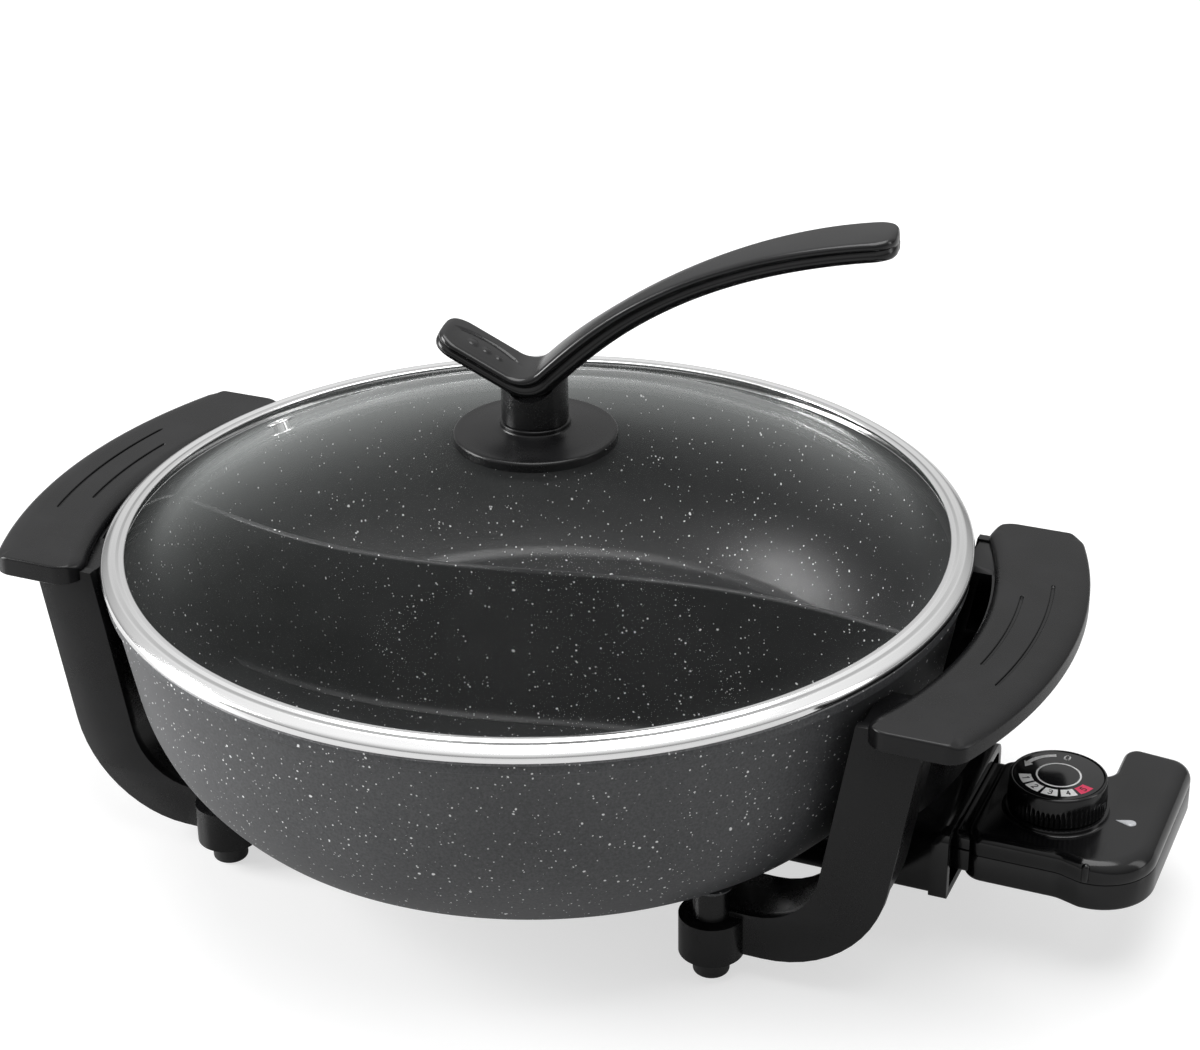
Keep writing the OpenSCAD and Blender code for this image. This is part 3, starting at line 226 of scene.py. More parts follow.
def cut(piece, surface, smooth=35.0):
    """The piece with the surface's closed shape taken away from it."""
    cutter = surface.loose("cutter")
    knife = piece.modifiers.new("cut", "BOOLEAN")
    knife.operation, knife.solver, knife.object = "DIFFERENCE", "EXACT", cutter
    knife.use_self = True
    settled(piece)
    bpy.data.objects.remove(cutter)
    piece.data.set_sharp_from_angle(angle=math.radians(smooth))
    return piece


# ---------------- shaders


class Value:
    """A shader socket in an expression: sums, products and comparisons add Math nodes."""

    def __init__(self, socket, shader):
        self.socket, self.shader = socket, shader

    def _math(self, operation, *others):
        inputs = dict(enumerate((self, *others)))
        return self.shader.node("Math", {"operation": operation}, inputs)

    def __add__(self, other):
        return self._math("ADD", other)

    def __mul__(self, other):
        return self._math("MULTIPLY", other)

    def __sub__(self, other):
        return self._math("SUBTRACT", other)

    def __rsub__(self, other):
        return self.shader.node("Math", {"operation": "SUBTRACT"}, {0: other, 1: self})

    def __truediv__(self, other):
        return self._math("DIVIDE", other)

    __radd__, __rmul__ = __add__, __mul__

    def power(self, exponent):
        return self._math("POWER", exponent)

    def step(self, low, high):
        """0 below low, 1 above high, and smooth between them."""
        return self.shader.node("MapRange", {"interpolation_type": "SMOOTHSTEP"},
                                {"Value": self, "From Min": low, "From Max": high})


class Shader:
    """A material's nodes."""

    def __init__(self, name, colour, **fixed):
        self.material = bpy.data.materials.new(name)
        self.material.use_nodes = True
        self.material.diffuse_color = (*colour, 1.0)
        self.tree = self.material.node_tree
        self.gloss = self.tree.nodes["Principled BSDF"]
        self.gloss.inputs["Base Color"].default_value = (*colour, 1.0)
        for socket, value in fixed.items():
            self.gloss.inputs[socket.replace("_", " ")].default_value = value

    def node(self, kind, settings=None, inputs=None, output=0):
        """A node of that kind, its settings made first and then its sockets' values or links."""
        node = self.tree.nodes.new("ShaderNode" + kind)
        for key, value in (settings or {}).items():
            setattr(node, key, value)
        for key, value in (inputs or {}).items():
            if isinstance(value, Value):
                self.tree.links.new(value.socket, node.inputs[key])
            else:
                node.inputs[key].default_value = value
        return Value(node.outputs[output], self)

    def set(self, socket, value):
        """A value into one of the surface's own sockets."""
        self.tree.links.new(value.socket, self.gloss.inputs[socket])

    def place(self):
        """The point on the object, in metres."""
        return self.node("TexCoord", output="Object")

    def parts(self, vector):
        """The three numbers of a vector."""
        split = self.tree.nodes.new("ShaderNodeSeparateXYZ")
        self.tree.links.new(vector.socket, split.inputs[0])
        return [Value(split.outputs[i], self) for i in range(3)]

    def noise(self, scale, detail=3.0, rough=0.5, at=None):
        """Noise with that many waves to the metre."""
        return self.node("TexNoise", inputs={
            "Vector": at or self.place(), "Scale": scale, "Detail": detail, "Roughness": rough})

    def blend(self, amount, first, second):
        """The first colour where amount is 0 and the second where it is 1."""
        mix = self.tree.nodes.new("ShaderNodeMix")
        mix.data_type = "RGBA"
        sockets = {"Factor": mix.inputs[0], "A": mix.inputs[6], "B": mix.inputs[7]}
        for key, value in {"Factor": amount, "A": first, "B": second}.items():
            if isinstance(value, Value):
                self.tree.links.new(value.socket, sockets[key])
            else:
                sockets[key].default_value = value if key == "Factor" else (*value, 1.0)
        return Value(mix.outputs[2], self)

    def look(self, amount, first, second, rough):
        """The blend of two colours and the roughness, as the finished material."""
        self.set("Base Color", self.blend(amount, first, second))
        self.set("Roughness", rough)
        return self.material

    def bumps(self, height, strength, distance):
        """Bumps of that height, with distance in metres, into the normal."""
        self.set("Normal", self.node("Bump", inputs={
            "Height": height, "Strength": strength, "Distance": distance}))


def flecks(shader, cell, share, biggest):
    """White flecks: the space, made uneven by a noise, is cut into random cells of that size in
    metres, a share of the cells holds one fleck, and each fleck is a ragged dot of its own size,
    up to biggest of a cell."""
    cells = {"feature": "F1", "distance": "EUCLIDEAN"}
    ragged = shader.node("TexNoise", output="Color", inputs={
        "Vector": shader.place(), "Scale": 1.1 / cell, "Detail": 3.0})
    place = shader.node("VectorMath", {"operation": "MULTIPLY_ADD"},
                        {0: ragged, 1: (cell * 0.42,) * 3, 2: shader.place()})
    inputs = {"Vector": place, "Scale": 1.0 / cell, "Randomness": 1.0}
    distance = shader.node("TexVoronoi", cells, inputs, "Distance")
    chance = shader.parts(shader.node("TexVoronoi", cells, inputs, "Color"))
    kept = chance[0].step(1.0 - share - 0.001, 1.0 - share + 0.001)
    size = chance[1] * chance[1] * (biggest * 0.75) + biggest * 0.25
    return kept * (1 - (distance / size).step(0.75, 1.1))


def coating(name, dark, light, share, rough, shine):
    """Sprayed non-stick coating: a grainy ground with white flecks of three sizes."""
    shader = Shader(name, dark, IOR=1.5, Specular_IOR_Level=shine)
    grain = shader.noise(900.0, 4.0, 0.7)
    cloud = shader.noise(14.0, 2.0, 0.5)
    ground = shader.blend((grain * 0.85 + cloud * 0.3 - 0.08).step(0.25, 0.8), dark, light)
    dots = (flecks(shader, 0.0062, share, 0.13) + flecks(shader, 0.0034, share * 1.7, 0.17)
            + flecks(shader, 0.0019, share * 1.7, 0.22)).step(0.0, 0.85)
    shader.bumps(grain * 0.4 + dots * 0.6, 0.35, 0.00012)
    return shader.look(dots, ground, (0.93, 0.93, 0.93), (grain * 0.22 + rough) - dots * 0.08)


def moulded(name, colour, rough, shine, grain_depth=0.00002):
    """Moulded phenolic plastic: near black, with faint mottling and a fine skin."""
    shader = Shader(name, colour, IOR=1.5, Specular_IOR_Level=shine)
    skin = shader.noise(1400.0, 3.0, 0.6)
    cloud = shader.noise(35.0, 3.0, 0.5)
    lighter = tuple(c * 1.7 + 0.002 for c in colour)
    shader.bumps(skin, 0.25, grain_depth)
    uneven = cloud * 0.1 + skin * 0.06 + (rough - 0.08)
    return shader.look(cloud.step(0.35, 0.75), colour, lighter, uneven)


def brushed(name, colour, rough, along="z"):
    """Metal with fine turned lines: noise that is squeezed across the lines."""
    shader = Shader(name, colour, Metallic=1.0)
    x, y, z = shader.parts(shader.place())
    if along == "z":
        radius = (x * x + y * y).power(0.5)
        squeezed = (radius * 2600.0, z * 2600.0, 0.0)
    else:
        squeezed = (x * 1800.0, y * 90.0, z * 1800.0)
    lines = shader.node("CombineXYZ", inputs=dict(enumerate(squeezed)))
    streak = shader.noise(1.0, 2.0, 0.5, at=lines)
    lighter = tuple(min(c * 1.12, 1.0) for c in colour)
    return shader.look(streak, colour, lighter, streak * 0.1 + (rough - 0.05))


coat_outside = coating(
    "grey_speckled_coating", (0.030, 0.031, 0.033), (0.100, 0.102, 0.106), 0.42, 0.40, 0.5)
coat_inside = coating(
    "black_speckled_coating", (0.004, 0.004, 0.0045), (0.015, 0.015, 0.016), 0.28, 0.26, 0.4)
# Paler speckled coating for the rim's flat top; on the rim's outer top rounding the same paler
# colour is a painted highlight along the edge.
pale_rim_and_edge_highlight = coating("pale_rim_coating_and_painted_edge_highlight", (0.085, 0.085, 0.088), (0.27, 0.27, 0.28), 0.45, 0.24, 0.6)
satin_black = moulded("satin_black_phenolic", (0.0030, 0.0030, 0.0033), 0.28, 0.27)
handle_black = moulded(
    "polished_handle_phenolic", (0.0028, 0.0028, 0.0031), 0.20, 0.40, 0.000008)
gloss_black = moulded("glossy_black_phenolic", (0.0025, 0.0025, 0.0028), 0.15, 0.36, 0.000008)
ring_steel = brushed("polished_steel", (0.80, 0.80, 0.80), 0.12)
plain_steel = brushed("plain_steel", (0.52, 0.52, 0.51), 0.32, "x")
brass = brushed("bare_brass", (0.72, 0.52, 0.25), 0.28, "x")


def soft_rubber():
    """Matt rubber with a dusty bloom."""
    shader = Shader("black_rubber", (0.012, 0.012, 0.012), IOR=1.45)
    bloom = shader.noise(220.0, 4.0, 0.6)
    shader.bumps(bloom, 0.3, 0.00005)
    return shader.look(bloom.step(0.35, 0.8), (0.010, 0.010, 0.010), (0.026, 0.026, 0.027),
                       bloom * 0.2 + 0.5)


def tempered_glass():
    """Clear glass: seen square on it hardly shows, and towards its edges it reflects."""
    shader = Shader("tempered_glass", (0.62, 0.65, 0.64), Roughness=0.02, IOR=1.5)
    edge = shader.node("LayerWeight", inputs={"Blend": 0.5}, output="Facing")
    dust = shader.noise(60.0, 3.0, 0.5)
    shader.set("Alpha", edge.power(6.0) * 0.55 + dust * 0.006 + 0.006)
    shader.material.surface_render_method = "BLENDED"
    return shader.material


def white_ceramic():
    """Unglazed ceramic with a few darker grains."""
    shader = Shader("unglazed_ceramic", (0.8, 0.78, 0.72), IOR=1.5)
    grain = shader.noise(700.0, 4.0, 0.6)
    shader.bumps(grain, 0.3, 0.00005)
    return shader.look(grain.step(0.4, 0.75), (0.82, 0.80, 0.74), (0.62, 0.60, 0.55),
                       grain * 0.2 + 0.5)


def printed(name, colour, rough=0.3):
    """Printed ink with slightly uneven cover."""
    shader = Shader(name, colour, IOR=1.5)
    cover = shader.noise(1500.0, 3.0, 0.6)
    thinner = tuple(c * 0.82 for c in colour)
    return shader.look(cover.step(0.3, 0.9), colour, thinner, cover * 0.1 + rough)


rubber = soft_rubber()
glass = tempered_glass()
ceramic = white_ceramic()
white_ink = printed("white_ink", (0.90, 0.90, 0.90))
pink_ink = printed("pink_ink", (0.80, 0.035, 0.12))
lens_plastic = printed("milky_lens", (0.55, 0.56, 0.58), 0.12)
lamp_glow = printed("neon_lamp", (0.55, 0.10, 0.05), 0.1)
silicone = printed("silicone_seal", (0.6, 0.6, 0.58), 0.4)
dial_gloss = moulded("dial_disc", (0.003, 0.003, 0.0035), 0.14, 0.5, 0.000004)

# ---------------- pan

PAN_R, RIM_Z, BASE_Z, FLOOR_Z = 170.0, 126.0, 40.0, 45.0
WALL_T, WALL_LEAN, BOWL_Z, BOWL_R = 3.0, 10.0, 82.0, 75.0
COLLAR_Z, COLLAR_IN = RIM_Z - 5.0, 1.8
LEAN = math.radians(WALL_LEAN)
BOWL_CX = PAN_R - COLLAR_IN - (COLLAR_Z - BOWL_Z) * math.tan(LEAN) - BOWL_R * math.cos(LEAN)
BOWL_CZ = BOWL_Z + BOWL_R * math.sin(LEAN)


def wall_radius(z, out=0.0):
    """The pan's outside radius at height z, moved out by that much: a straight lean above and
    a circle's arc below."""
    z = np.asarray(z, float)
    straight = PAN_R - COLLAR_IN - (COLLAR_Z - z) * math.tan(LEAN) + out / math.cos(LEAN)
    bowl = BOWL_CX + np.sqrt(np.maximum((BOWL_R + out) ** 2 - (z - BOWL_CZ) ** 2, 0.0))
    return np.where(z > BOWL_CZ - (BOWL_R + out) * math.sin(LEAN), straight, bowl)


def wall_points(out, low, high, steps):
    """Points up the wall at even turns of its slope."""
    start = math.degrees(math.asin((low - BOWL_CZ) / (BOWL_R + out)))
    bowl = arc((BOWL_CX, BOWL_CZ), BOWL_R + out, start, -WALL_LEAN, steps)
    return np.concatenate([bowl, [[float(wall_radius(high, out)), high]]])


def make_pan():
    """The pan turned round its axis: flat base, soft base edge, bowl, collar, the rim's flat paler
    top, whose paler colour also covers the outer top rounding as a painted highlight along the
    edge, and inside the same wall again, running into the floor over a fillet."""
    outer = wall_points(0.0, BASE_Z + 1.2, COLLAR_Z - 1.0, 40)
    edge_r = float(wall_radius(BASE_Z + 1.2))
    base = [[6.0, BASE_Z], [60.0, BASE_Z], [edge_r - 3.0, BASE_Z],
            [edge_r - 1.3, BASE_Z + 0.25]]
    collar = np.concatenate([
        arc((float(wall_radius(COLLAR_Z)) + 0.9, COLLAR_Z - 0.6), 0.9, 180, 90, 4),
        arc((PAN_R - 0.8, COLLAR_Z + 1.1), 0.8, -90, 0, 5),
    ])
    # The rim's paler colour runs over the outer top rounding too: there it is a painted highlight
    # along the edge, and on the flat top it is the rim's own paler coating.
    rim = np.concatenate([
        arc((PAN_R - 0.9, RIM_Z - 0.9), 0.9, 15, 90, 6), [[PAN_R - 2.4, RIM_Z]],
        arc((PAN_R - 3.3, RIM_Z - 0.7), 0.7, 90, 180, 4)])
    inner = wall_points(-WALL_T, FLOOR_Z + 3.2, COLLAR_Z - 2.0, 40)[::-1]
    inner_top = [[float(wall_radius(COLLAR_Z + 1.5, -WALL_T)), COLLAR_Z + 1.5]]
    low_r = float(inner[-1, 0])
    floor_fillet = [[low_r - 2.2, FLOOR_Z + 1.45], [low_r - 5.2, FLOOR_Z + 0.4],
                    [low_r - 9.5, FLOOR_Z]]
    floor = [[60.0, FLOOR_Z], [6.0, FLOOR_Z]]
    sections = [base, outer, collar, rim, inner_top, inner, floor_fillet, floor]
    profile = np.concatenate(sections)
    paint = np.repeat([0, 0, 0, 1, 2, 2, 2, 2], [len(part) for part in sections])
    steps = 384
    paint = np.concatenate([np.repeat(paint[:-1], steps), [0, 2]])
    Surface().spin(profile, steps, paint=paint).make(
        "pan", "pot", [coat_outside, pale_rim_and_edge_highlight, coat_inside], slot="pan_coating",
        replaces=["pan_body"])


make_pan()


def divider_line(x):
    """The dividing wall's middle line: one sine over the pan's width, less a bulge to the front
    and a slight turn."""
    k = x / PAN_R
    return 13.5 * np.sin(np.pi * k) - 4.5 * np.cos(np.pi * k / 2) - 4.0 * k


def make_divider():
    """The S-shaped wall: a cross-section with a rounded top and a fillet at the floor, carried
    along the line. At each height the wall reaches just into the pan's own wall."""
    top, half = RIM_Z - 12.5, 1.5
    side = [(half + 3.4, FLOOR_Z - 0.6), (half + 3.2, FLOOR_Z + 0.15), (half + 1.5, FLOOR_Z + 0.9),
            (half + 0.5, FLOOR_Z + 2.2), (half, FLOOR_Z + 4.5)]
    side += [(half, z) for z in np.linspace(FLOOR_Z + 9, top - 1.4, 12)]
    side += [tuple(p) for p in arc((0.3, top - 1.2), 1.2, 0, 90, 5)]
    section = np.array(side + [(-s, z) for s, z in side[::-1]])
    u = np.sin(np.linspace(-1, 1, 240) * np.pi / 2)[:, None]
    reach = wall_radius(np.clip(section[:, 1], FLOOR_Z, None), -WALL_T) + 0.6
    x = u * np.sqrt(reach ** 2 - 10.0)
    slope = divider_line(x + 0.5) - divider_line(x - 0.5)
    lean = np.sqrt(1 + slope ** 2)
    points = np.stack([x - section[:, 0] * slope / lean, divider_line(x) + section[:, 0] / lean,
                       np.broadcast_to(section[:, 1], x.shape)], axis=-1)
    Surface().stack(points).make(
        "dividing_wall", "pot", [coat_inside], slot="pan_inside", replaces=["divider_wall"])


make_divider()

# ---------------- lid

RING_R, SEAT_Z, GLASS_TOP_Z, GLASS_T = 171.0, 126.2, 131.0, 3.6
FLAT_R, EDGE_R, BEND_R, DOME_H = 159.5, 169.0, 22.0, 40.0
VENT_R, VENT_TURN = EDGE_R - 31.0, 166.0
DOME_SUM = (FLAT_R ** 2 + DOME_H ** 2) / (2 * DOME_H)
DOME_R, DOME_TURN = DOME_SUM - BEND_R, math.asin(FLAT_R / DOME_SUM)
DOME_CZ = GLASS_TOP_Z + DOME_H - DOME_R
FLANGE_R, POST_R = 32.0, 13.0
FLANGE_EDGE_Z = DOME_CZ + math.sqrt(DOME_R ** 2 - FLANGE_R ** 2)
FLANGE_TOP_Z = FLANGE_EDGE_Z + 6.8
HANDLE_Z, HANDLE_TURN = FLANGE_TOP_Z + 13.0, 11.0
# Slopes of the handle's short arm, its long arm's start and its end, and the bend's radius
SHORT, STEEP, TIP, TURN_R = math.radians(29), math.radians(46), math.radians(5), 12.0


def dome_line(out, start):
    """One face of the glass moved outwards: a wide arc from radius start, then a small arc the
    other way that ends flat."""
    a = np.linspace(math.asin(start / (DOME_R + out)), DOME_TURN, 60)
    dome = np.stack([(DOME_R + out) * np.sin(a), DOME_CZ + (DOME_R + out) * np.cos(a)], axis=1)
    a = np.linspace(DOME_TURN, 0, 16)[1:]
    r = BEND_R - out
    bend = np.stack([FLAT_R - r * np.sin(a), GLASS_TOP_Z + BEND_R - r * np.cos(a)], axis=1)
    return np.concatenate([dome, bend])


def make_glass():
    """The domed glass: both faces and a half-round ground edge, turned round the axis."""
    edge = arc((EDGE_R - GLASS_T / 2, GLASS_TOP_Z - GLASS_T / 2), GLASS_T / 2, 88, -88, 8)
    profile = np.concatenate([dome_line(0, 4.0), edge, dome_line(-GLASS_T, 4.0)[::-1]])
    Surface().revolve(profile, 360).make(
        "domed_glass", "lid", [glass], slot="glass", replaces=["lid_glass"])


def make_ring():
    """The pressed steel ring: a skirt with a rolled lower edge, a step that rests on the rim, a
    round shoulder, a crease and a bead that grips the glass."""
    skirt = RING_R - 6.75
    r, z, low = RING_R, SEAT_Z, GLASS_TOP_Z - GLASS_T
    profile = rounded([
        (skirt - 1.2, z - 8, 0.5), (skirt + 0.25, z - 8, 0.6), (skirt, z - 6.6, 0.8),
        (skirt, z, 0.8), (r, z, 1.3), (r, z + 3.6, 2.6), (r - 3.6, z + 6.0, 1.6),
        (r - 6.0, z + 5.5, 0.8), (r - 7.4, z + 6.0, 0.9), (r - 9.5, z + 6.0, 0.6),
        (r - 9.5, GLASS_TOP_Z, 0.2), (EDGE_R, GLASS_TOP_Z, 0), (EDGE_R, low, 0),
        (skirt - 1.2, low, 0.3)], 5)
    Surface().revolve(profile, 360).make(
        "steel_ring", "lid", [ring_steel], 40, "polished_steel", ["lid_ring"])


def make_eyelet():
    """The vent's eyelet: a rolled lip over and under the glass round a small bore, turned on its
    own axis and then leaned square to the dome."""
    low = -GLASS_T
    profile = rounded([
        (2.0, low - 1.0, 0.3), (5.4, low - 1.0, 0.35), (5.4, low - 0.2, 0.3), (3.5, low - 0.2, 0),
        (3.5, 0.06, 0), (5.5, 0.06, 0.1), (5.5, 0.5, 0.3), (4.3, 0.85, 0.6), (2.0, 0.85, 0.5)], 5)
    eyelet = Surface().revolve(profile, 64)
    x, y, z = eyelet.points[0].T
    z, x = swung(z + DOME_R, x, math.degrees(math.asin(VENT_R / DOME_R)))
    x, y = swung(x, y, VENT_TURN)
    eyelet.points[0] = np.stack([x, y, z + DOME_CZ], axis=1)
    eyelet.make("vent_lip", "lid", [ring_steel], 40, "polished_steel", ["vent_eyelet"])


def make_flange():
    """The round flange: its underside follows the dome, then an upright edge with a soft corner,
    a faint dish behind it and a rise to the post."""
    a = np.linspace(3.0 / DOME_R, math.asin(FLANGE_R / DOME_R), 12)
    under = np.stack([DOME_R * np.sin(a), DOME_CZ + DOME_R * np.cos(a)], axis=1)
    low = FLANGE_EDGE_Z
    over = np.concatenate([
        [[FLANGE_R, low + 0.5], [FLANGE_R - 0.1, low + 2.6]],
        arc((FLANGE_R - 1.15, low + 2.7), 1.05, 0, 80, 6),
        [[FLANGE_R - 2.4, low + 3.78], [FLANGE_R - 4.0, low + 3.92],
         [FLANGE_R - 7.0, low + 4.45], [FLANGE_R - 11.0, low + 5.15], [POST_R + 4.0, low + 5.65],
         [POST_R + 2.2, low + 5.95], [POST_R + 1.2, low + 6.3], [POST_R + 0.9, low + 6.75],
         [3.0, low + 6.75]]])
    Surface().spin(np.concatenate([under, over]), 192).make(
        "handle_flange", "lid", [satin_black], 32, "bakelite", ["knob_flange"])


def under_handle(along):
    """Height of the handle's underside over its lowest point: the short arm's slope, the bend's
    circle, and the long arm's slope."""
    u = np.clip(along, -TURN_R * math.sin(SHORT), TURN_R * math.sin(STEEP))
    circle = TURN_R - np.sqrt(TURN_R ** 2 - u ** 2)
    beyond = along - u
    arms = np.where(beyond < 0, -beyond * math.tan(SHORT), beyond * math.tan(STEEP) * 0.985)
    return circle + arms


def make_post():
    """The post: a foot ring, a fine groove over it and a plain barrel, cut off along the
    handle's underside."""
    steps, low = 128, FLANGE_TOP_Z
    profile = np.concatenate([
        [[POST_R + 0.75, low - 0.2], [POST_R + 0.8, low + 0.9]],
        arc((POST_R + 0.3, low + 1.1), 0.5, 0, 90, 4),
        [[POST_R + 0.05, low + 1.62], [POST_R - 0.25, low + 1.75], [POST_R - 0.25, low + 2.0],
         [POST_R, low + 2.2], [POST_R, low + 6.0], [POST_R, low + 10.0]]])
    rings = turned(profile, steps)
    a = np.linspace(0, 2 * np.pi, steps, endpoint=False)
    end = HANDLE_Z + 0.35 + under_handle(POST_R * np.cos(a - math.radians(HANDLE_TURN)))
    last = np.column_stack([rings[-1, :, :2], end])
    Surface().stack(np.concatenate([rings, last[None]])).make(
        "handle_post", "lid", [satin_black], 32, "bakelite", ["knob_post"])


def eased(first, last, t):
    """From first to last along half a cosine wave."""
    return first + (last - first) * (1 - np.cos(np.pi * np.clip(t, 0, 1))) / 2


def handle_path():
    """Stations under the handle, from the short arm's tip: distance along, height, heading,
    width and thickness. A straight arm, a tight bend, and a long arm on a wide circle."""
    short_run, long_r = 37.0, 205.0
    s = np.concatenate([np.linspace(0, 5, 16, endpoint=False),
                        np.linspace(5, short_run, 54, endpoint=False)])
    x0, z0 = -TURN_R * math.sin(SHORT), TURN_R * (1 - math.cos(SHORT))
    same = np.ones_like(s)
    arm = [x0 - (short_run - s) * math.cos(SHORT), z0 + (short_run - s) * math.sin(SHORT),
           -SHORT * same, 25.0 * same, 7.0 * same]
    t = np.linspace(0, 1, 25)
    h = -SHORT + (SHORT + STEEP) * t
    bend = [TURN_R * np.sin(h), TURN_R * (1 - np.cos(h)), h, 25.0 - 2.0 * t, eased(7.0, 9.5, t)]
    x1, z1 = bend[0][-1], bend[1][-1]
    t = np.concatenate([np.linspace(0, 0.95, 76)[1:], np.linspace(0.95, 1, 16)[1:]])
    h = STEEP + (TIP - STEEP) * t
    width = np.where(t < 0.28, eased(23.0, 15.0, t / 0.28), eased(15.0, 25.0, (t - 0.28) / 0.62))
    long_arm = [x1 + long_r * (math.sin(STEEP) - np.sin(h)),
                z1 + long_r * (np.cos(h) - math.cos(STEEP)), h, width, eased(9.5, 8.5, t)]
    return np.concatenate([arm, bend, long_arm], axis=1).T


def top_line(path, radius=10.0):
    """The middle line of the handle's upper face: the underside's line moved up by the thickness,
    with a fillet of that radius in the valley between the arms."""
    x, z, heading, _, thick = path.T
    top = np.stack([x - thick * np.sin(heading), z + thick * np.cos(heading)], axis=1)
    u = np.array([-math.cos(SHORT), math.sin(SHORT)])
    v = np.array([math.cos(STEEP), math.sin(STEEP)])
    bend = np.arange(np.argmax(heading > -SHORT + 0.001), np.argmax(heading))
    p, q = top[bend[0] - 1], top[bend[-1] + 1]
    k = np.linalg.solve(np.stack([u, -v], axis=1), q - p)
    valley = p + k[0] * u
    half = (math.pi - SHORT - STEEP) / 2
    reach = radius / math.tan(half)
    middle = valley + (u + v) / np.linalg.norm(u + v) * radius / math.sin(half)
    near = np.linalg.norm(top - valley, axis=1) < reach
    near[bend] = True
    first, last = np.flatnonzero(near)[[0, -1]]
    a = -math.pi / 2 + np.linspace(-SHORT, STEEP, last - first + 1)
    top[first:last + 1] = middle + radius * np.stack([np.cos(a), np.sin(a)], axis=1)
    return top


def round_end(gone, radius):
    """How much of a half width is lost where a round end of that radius has gone so far."""
    d = np.clip(gone, 0, radius)
    return radius - np.sqrt(radius ** 2 - (radius - d) ** 2)


def make_handle():
    """The handle: a section of two lobes, a flat upper one and a rounder lower one with a crease
    between them, carried along the path with round tips. On the short arm a thumb rest sinks in
    behind a curved crease, and holds three small drops."""
    path = handle_path()
    run = np.concatenate([[0], np.cumsum(np.linalg.norm(np.diff(path[:, :2], axis=0), axis=1))])
    from_end = np.minimum(run, run[-1] - run)
    half = np.maximum(path[:, 3] / 2 - round_end(from_end, 9.0), 3.6)
    squeeze = 1 - round_end(from_end, 2.6) / path[:, 4] * 1.3
    # (distance in from the widest, share of the thickness) round one side, from below to above
    side = np.array([
        (5.0, 0.0), (3.4, 0.015), (2.2, 0.06), (1.3, 0.14), (0.75, 0.25), (0.6, 0.36),
        (0.8, 0.46), (1.35, 0.525), (1.5, 0.56), (1.0, 0.60), (0.35, 0.66), (0.05, 0.74),
        (0.0, 0.82), (0.2, 0.90), (0.7, 0.955), (1.4, 0.985), (2.4, 1.0)])
    columns = 45
    u = np.linspace(1, -1, columns)[1:-1]
    across = np.concatenate([half[:, None] - side[None, :, 0], (half - 2.4)[:, None] * u[None],
                             side[None, ::-1, 0] - half[:, None]], axis=1)
    share = np.concatenate([side[:, 1], np.ones(columns - 2), side[::-1, 1]])
    share = (share[None] - 0.5) * squeeze[:, None] + 0.5
    crown = np.concatenate([np.zeros(len(side)), 0.35 * (1 - u ** 2), np.zeros(len(side))])
    top = np.zeros(share.shape[1])
    top[len(side):len(side) + columns - 2] = 1
    s = run[:, None]
    crease = 6.0 * np.sin(np.pi * np.clip((s - 3.5) / 37.0, 0, 1)) ** 0.8 + 2.6 - 0.12 * s
    behind = crease - across
    window = np.clip((s - 3.5) / 4, 0, 1) * np.clip((38 - s) / 9, 0, 1)
    rest = -0.75 * window * np.exp(-np.clip(behind, 0, None) / 6.0) * np.clip(behind / 0.5, 0, 1)
    drops = 0
    for place, y, size in ((13.5, -2.4, 1.75), (19.5, -2.7, 1.45), (25.0, -3.0, 1.1)):
        d = np.sqrt((s - place) ** 2 + ((across - y) * np.where(across > y, 0.62, 1.0)) ** 2) / size
        drops = drops + 0.6 * np.clip(1.25 - d, 0, 1) ** 0.5 * (d < 1.25)
    rise = top_line(path) - path[:, :2]
    normal = rise / np.linalg.norm(rise, axis=1, keepdims=True)
    extra = crown + top * (rest + drops)
    along = path[:, :1] + share * rise[:, :1] + extra * normal[:, :1]
    rise = path[:, 1:2] + share * rise[:, 1:] + extra * normal[:, 1:]
    x, y = swung(along, across, HANDLE_TURN)
    Surface().stack(np.stack([x, y, HANDLE_Z + rise], axis=-1)).make(
        "curved_handle", "lid", [handle_black], 50, "bakelite", ["lid_handle"])


for make in (make_glass, make_ring, make_eyelet, make_flange, make_post, make_handle):
    make()

# ---------------- feet

FOOT_X, FOOT_Y, FOOT_TOP = 104.0, 80.0, 9.4


def make_feet():
    """Rubber feet: a tread with a soft lower corner and a dished underside, up to the boss."""
    profile = np.concatenate([
        [[0.6, 0.5], [3.2, 0.5], [3.6, 0.0]], arc((5.7, 1.3), 1.3, -90, 0, 5),
        [[7.0, 5.0], [7.0, FOOT_TOP - 0.5], [6.6, FOOT_TOP - 0.1], [0.6, FOOT_TOP - 0.1]]])
    for row, y in (("front", -FOOT_Y), ("rear", FOOT_Y)):
        for side, x in (("right", FOOT_X), ("left", -FOOT_X)):
            foot = Surface().spin(profile, 64, (x, y))
            foot.make(f"{row}_{side}_foot_pad", "pot", [rubber], 32, "rubber",
                      [f"foot_{row}_{side}"])


make_feet()

# ---------------- dial

DIAL_X, DIAL_LOW_Z, DIAL_H, RIBS, RIB_DEPTH = 213.5, 52.4, 12.5, 60, 0.55


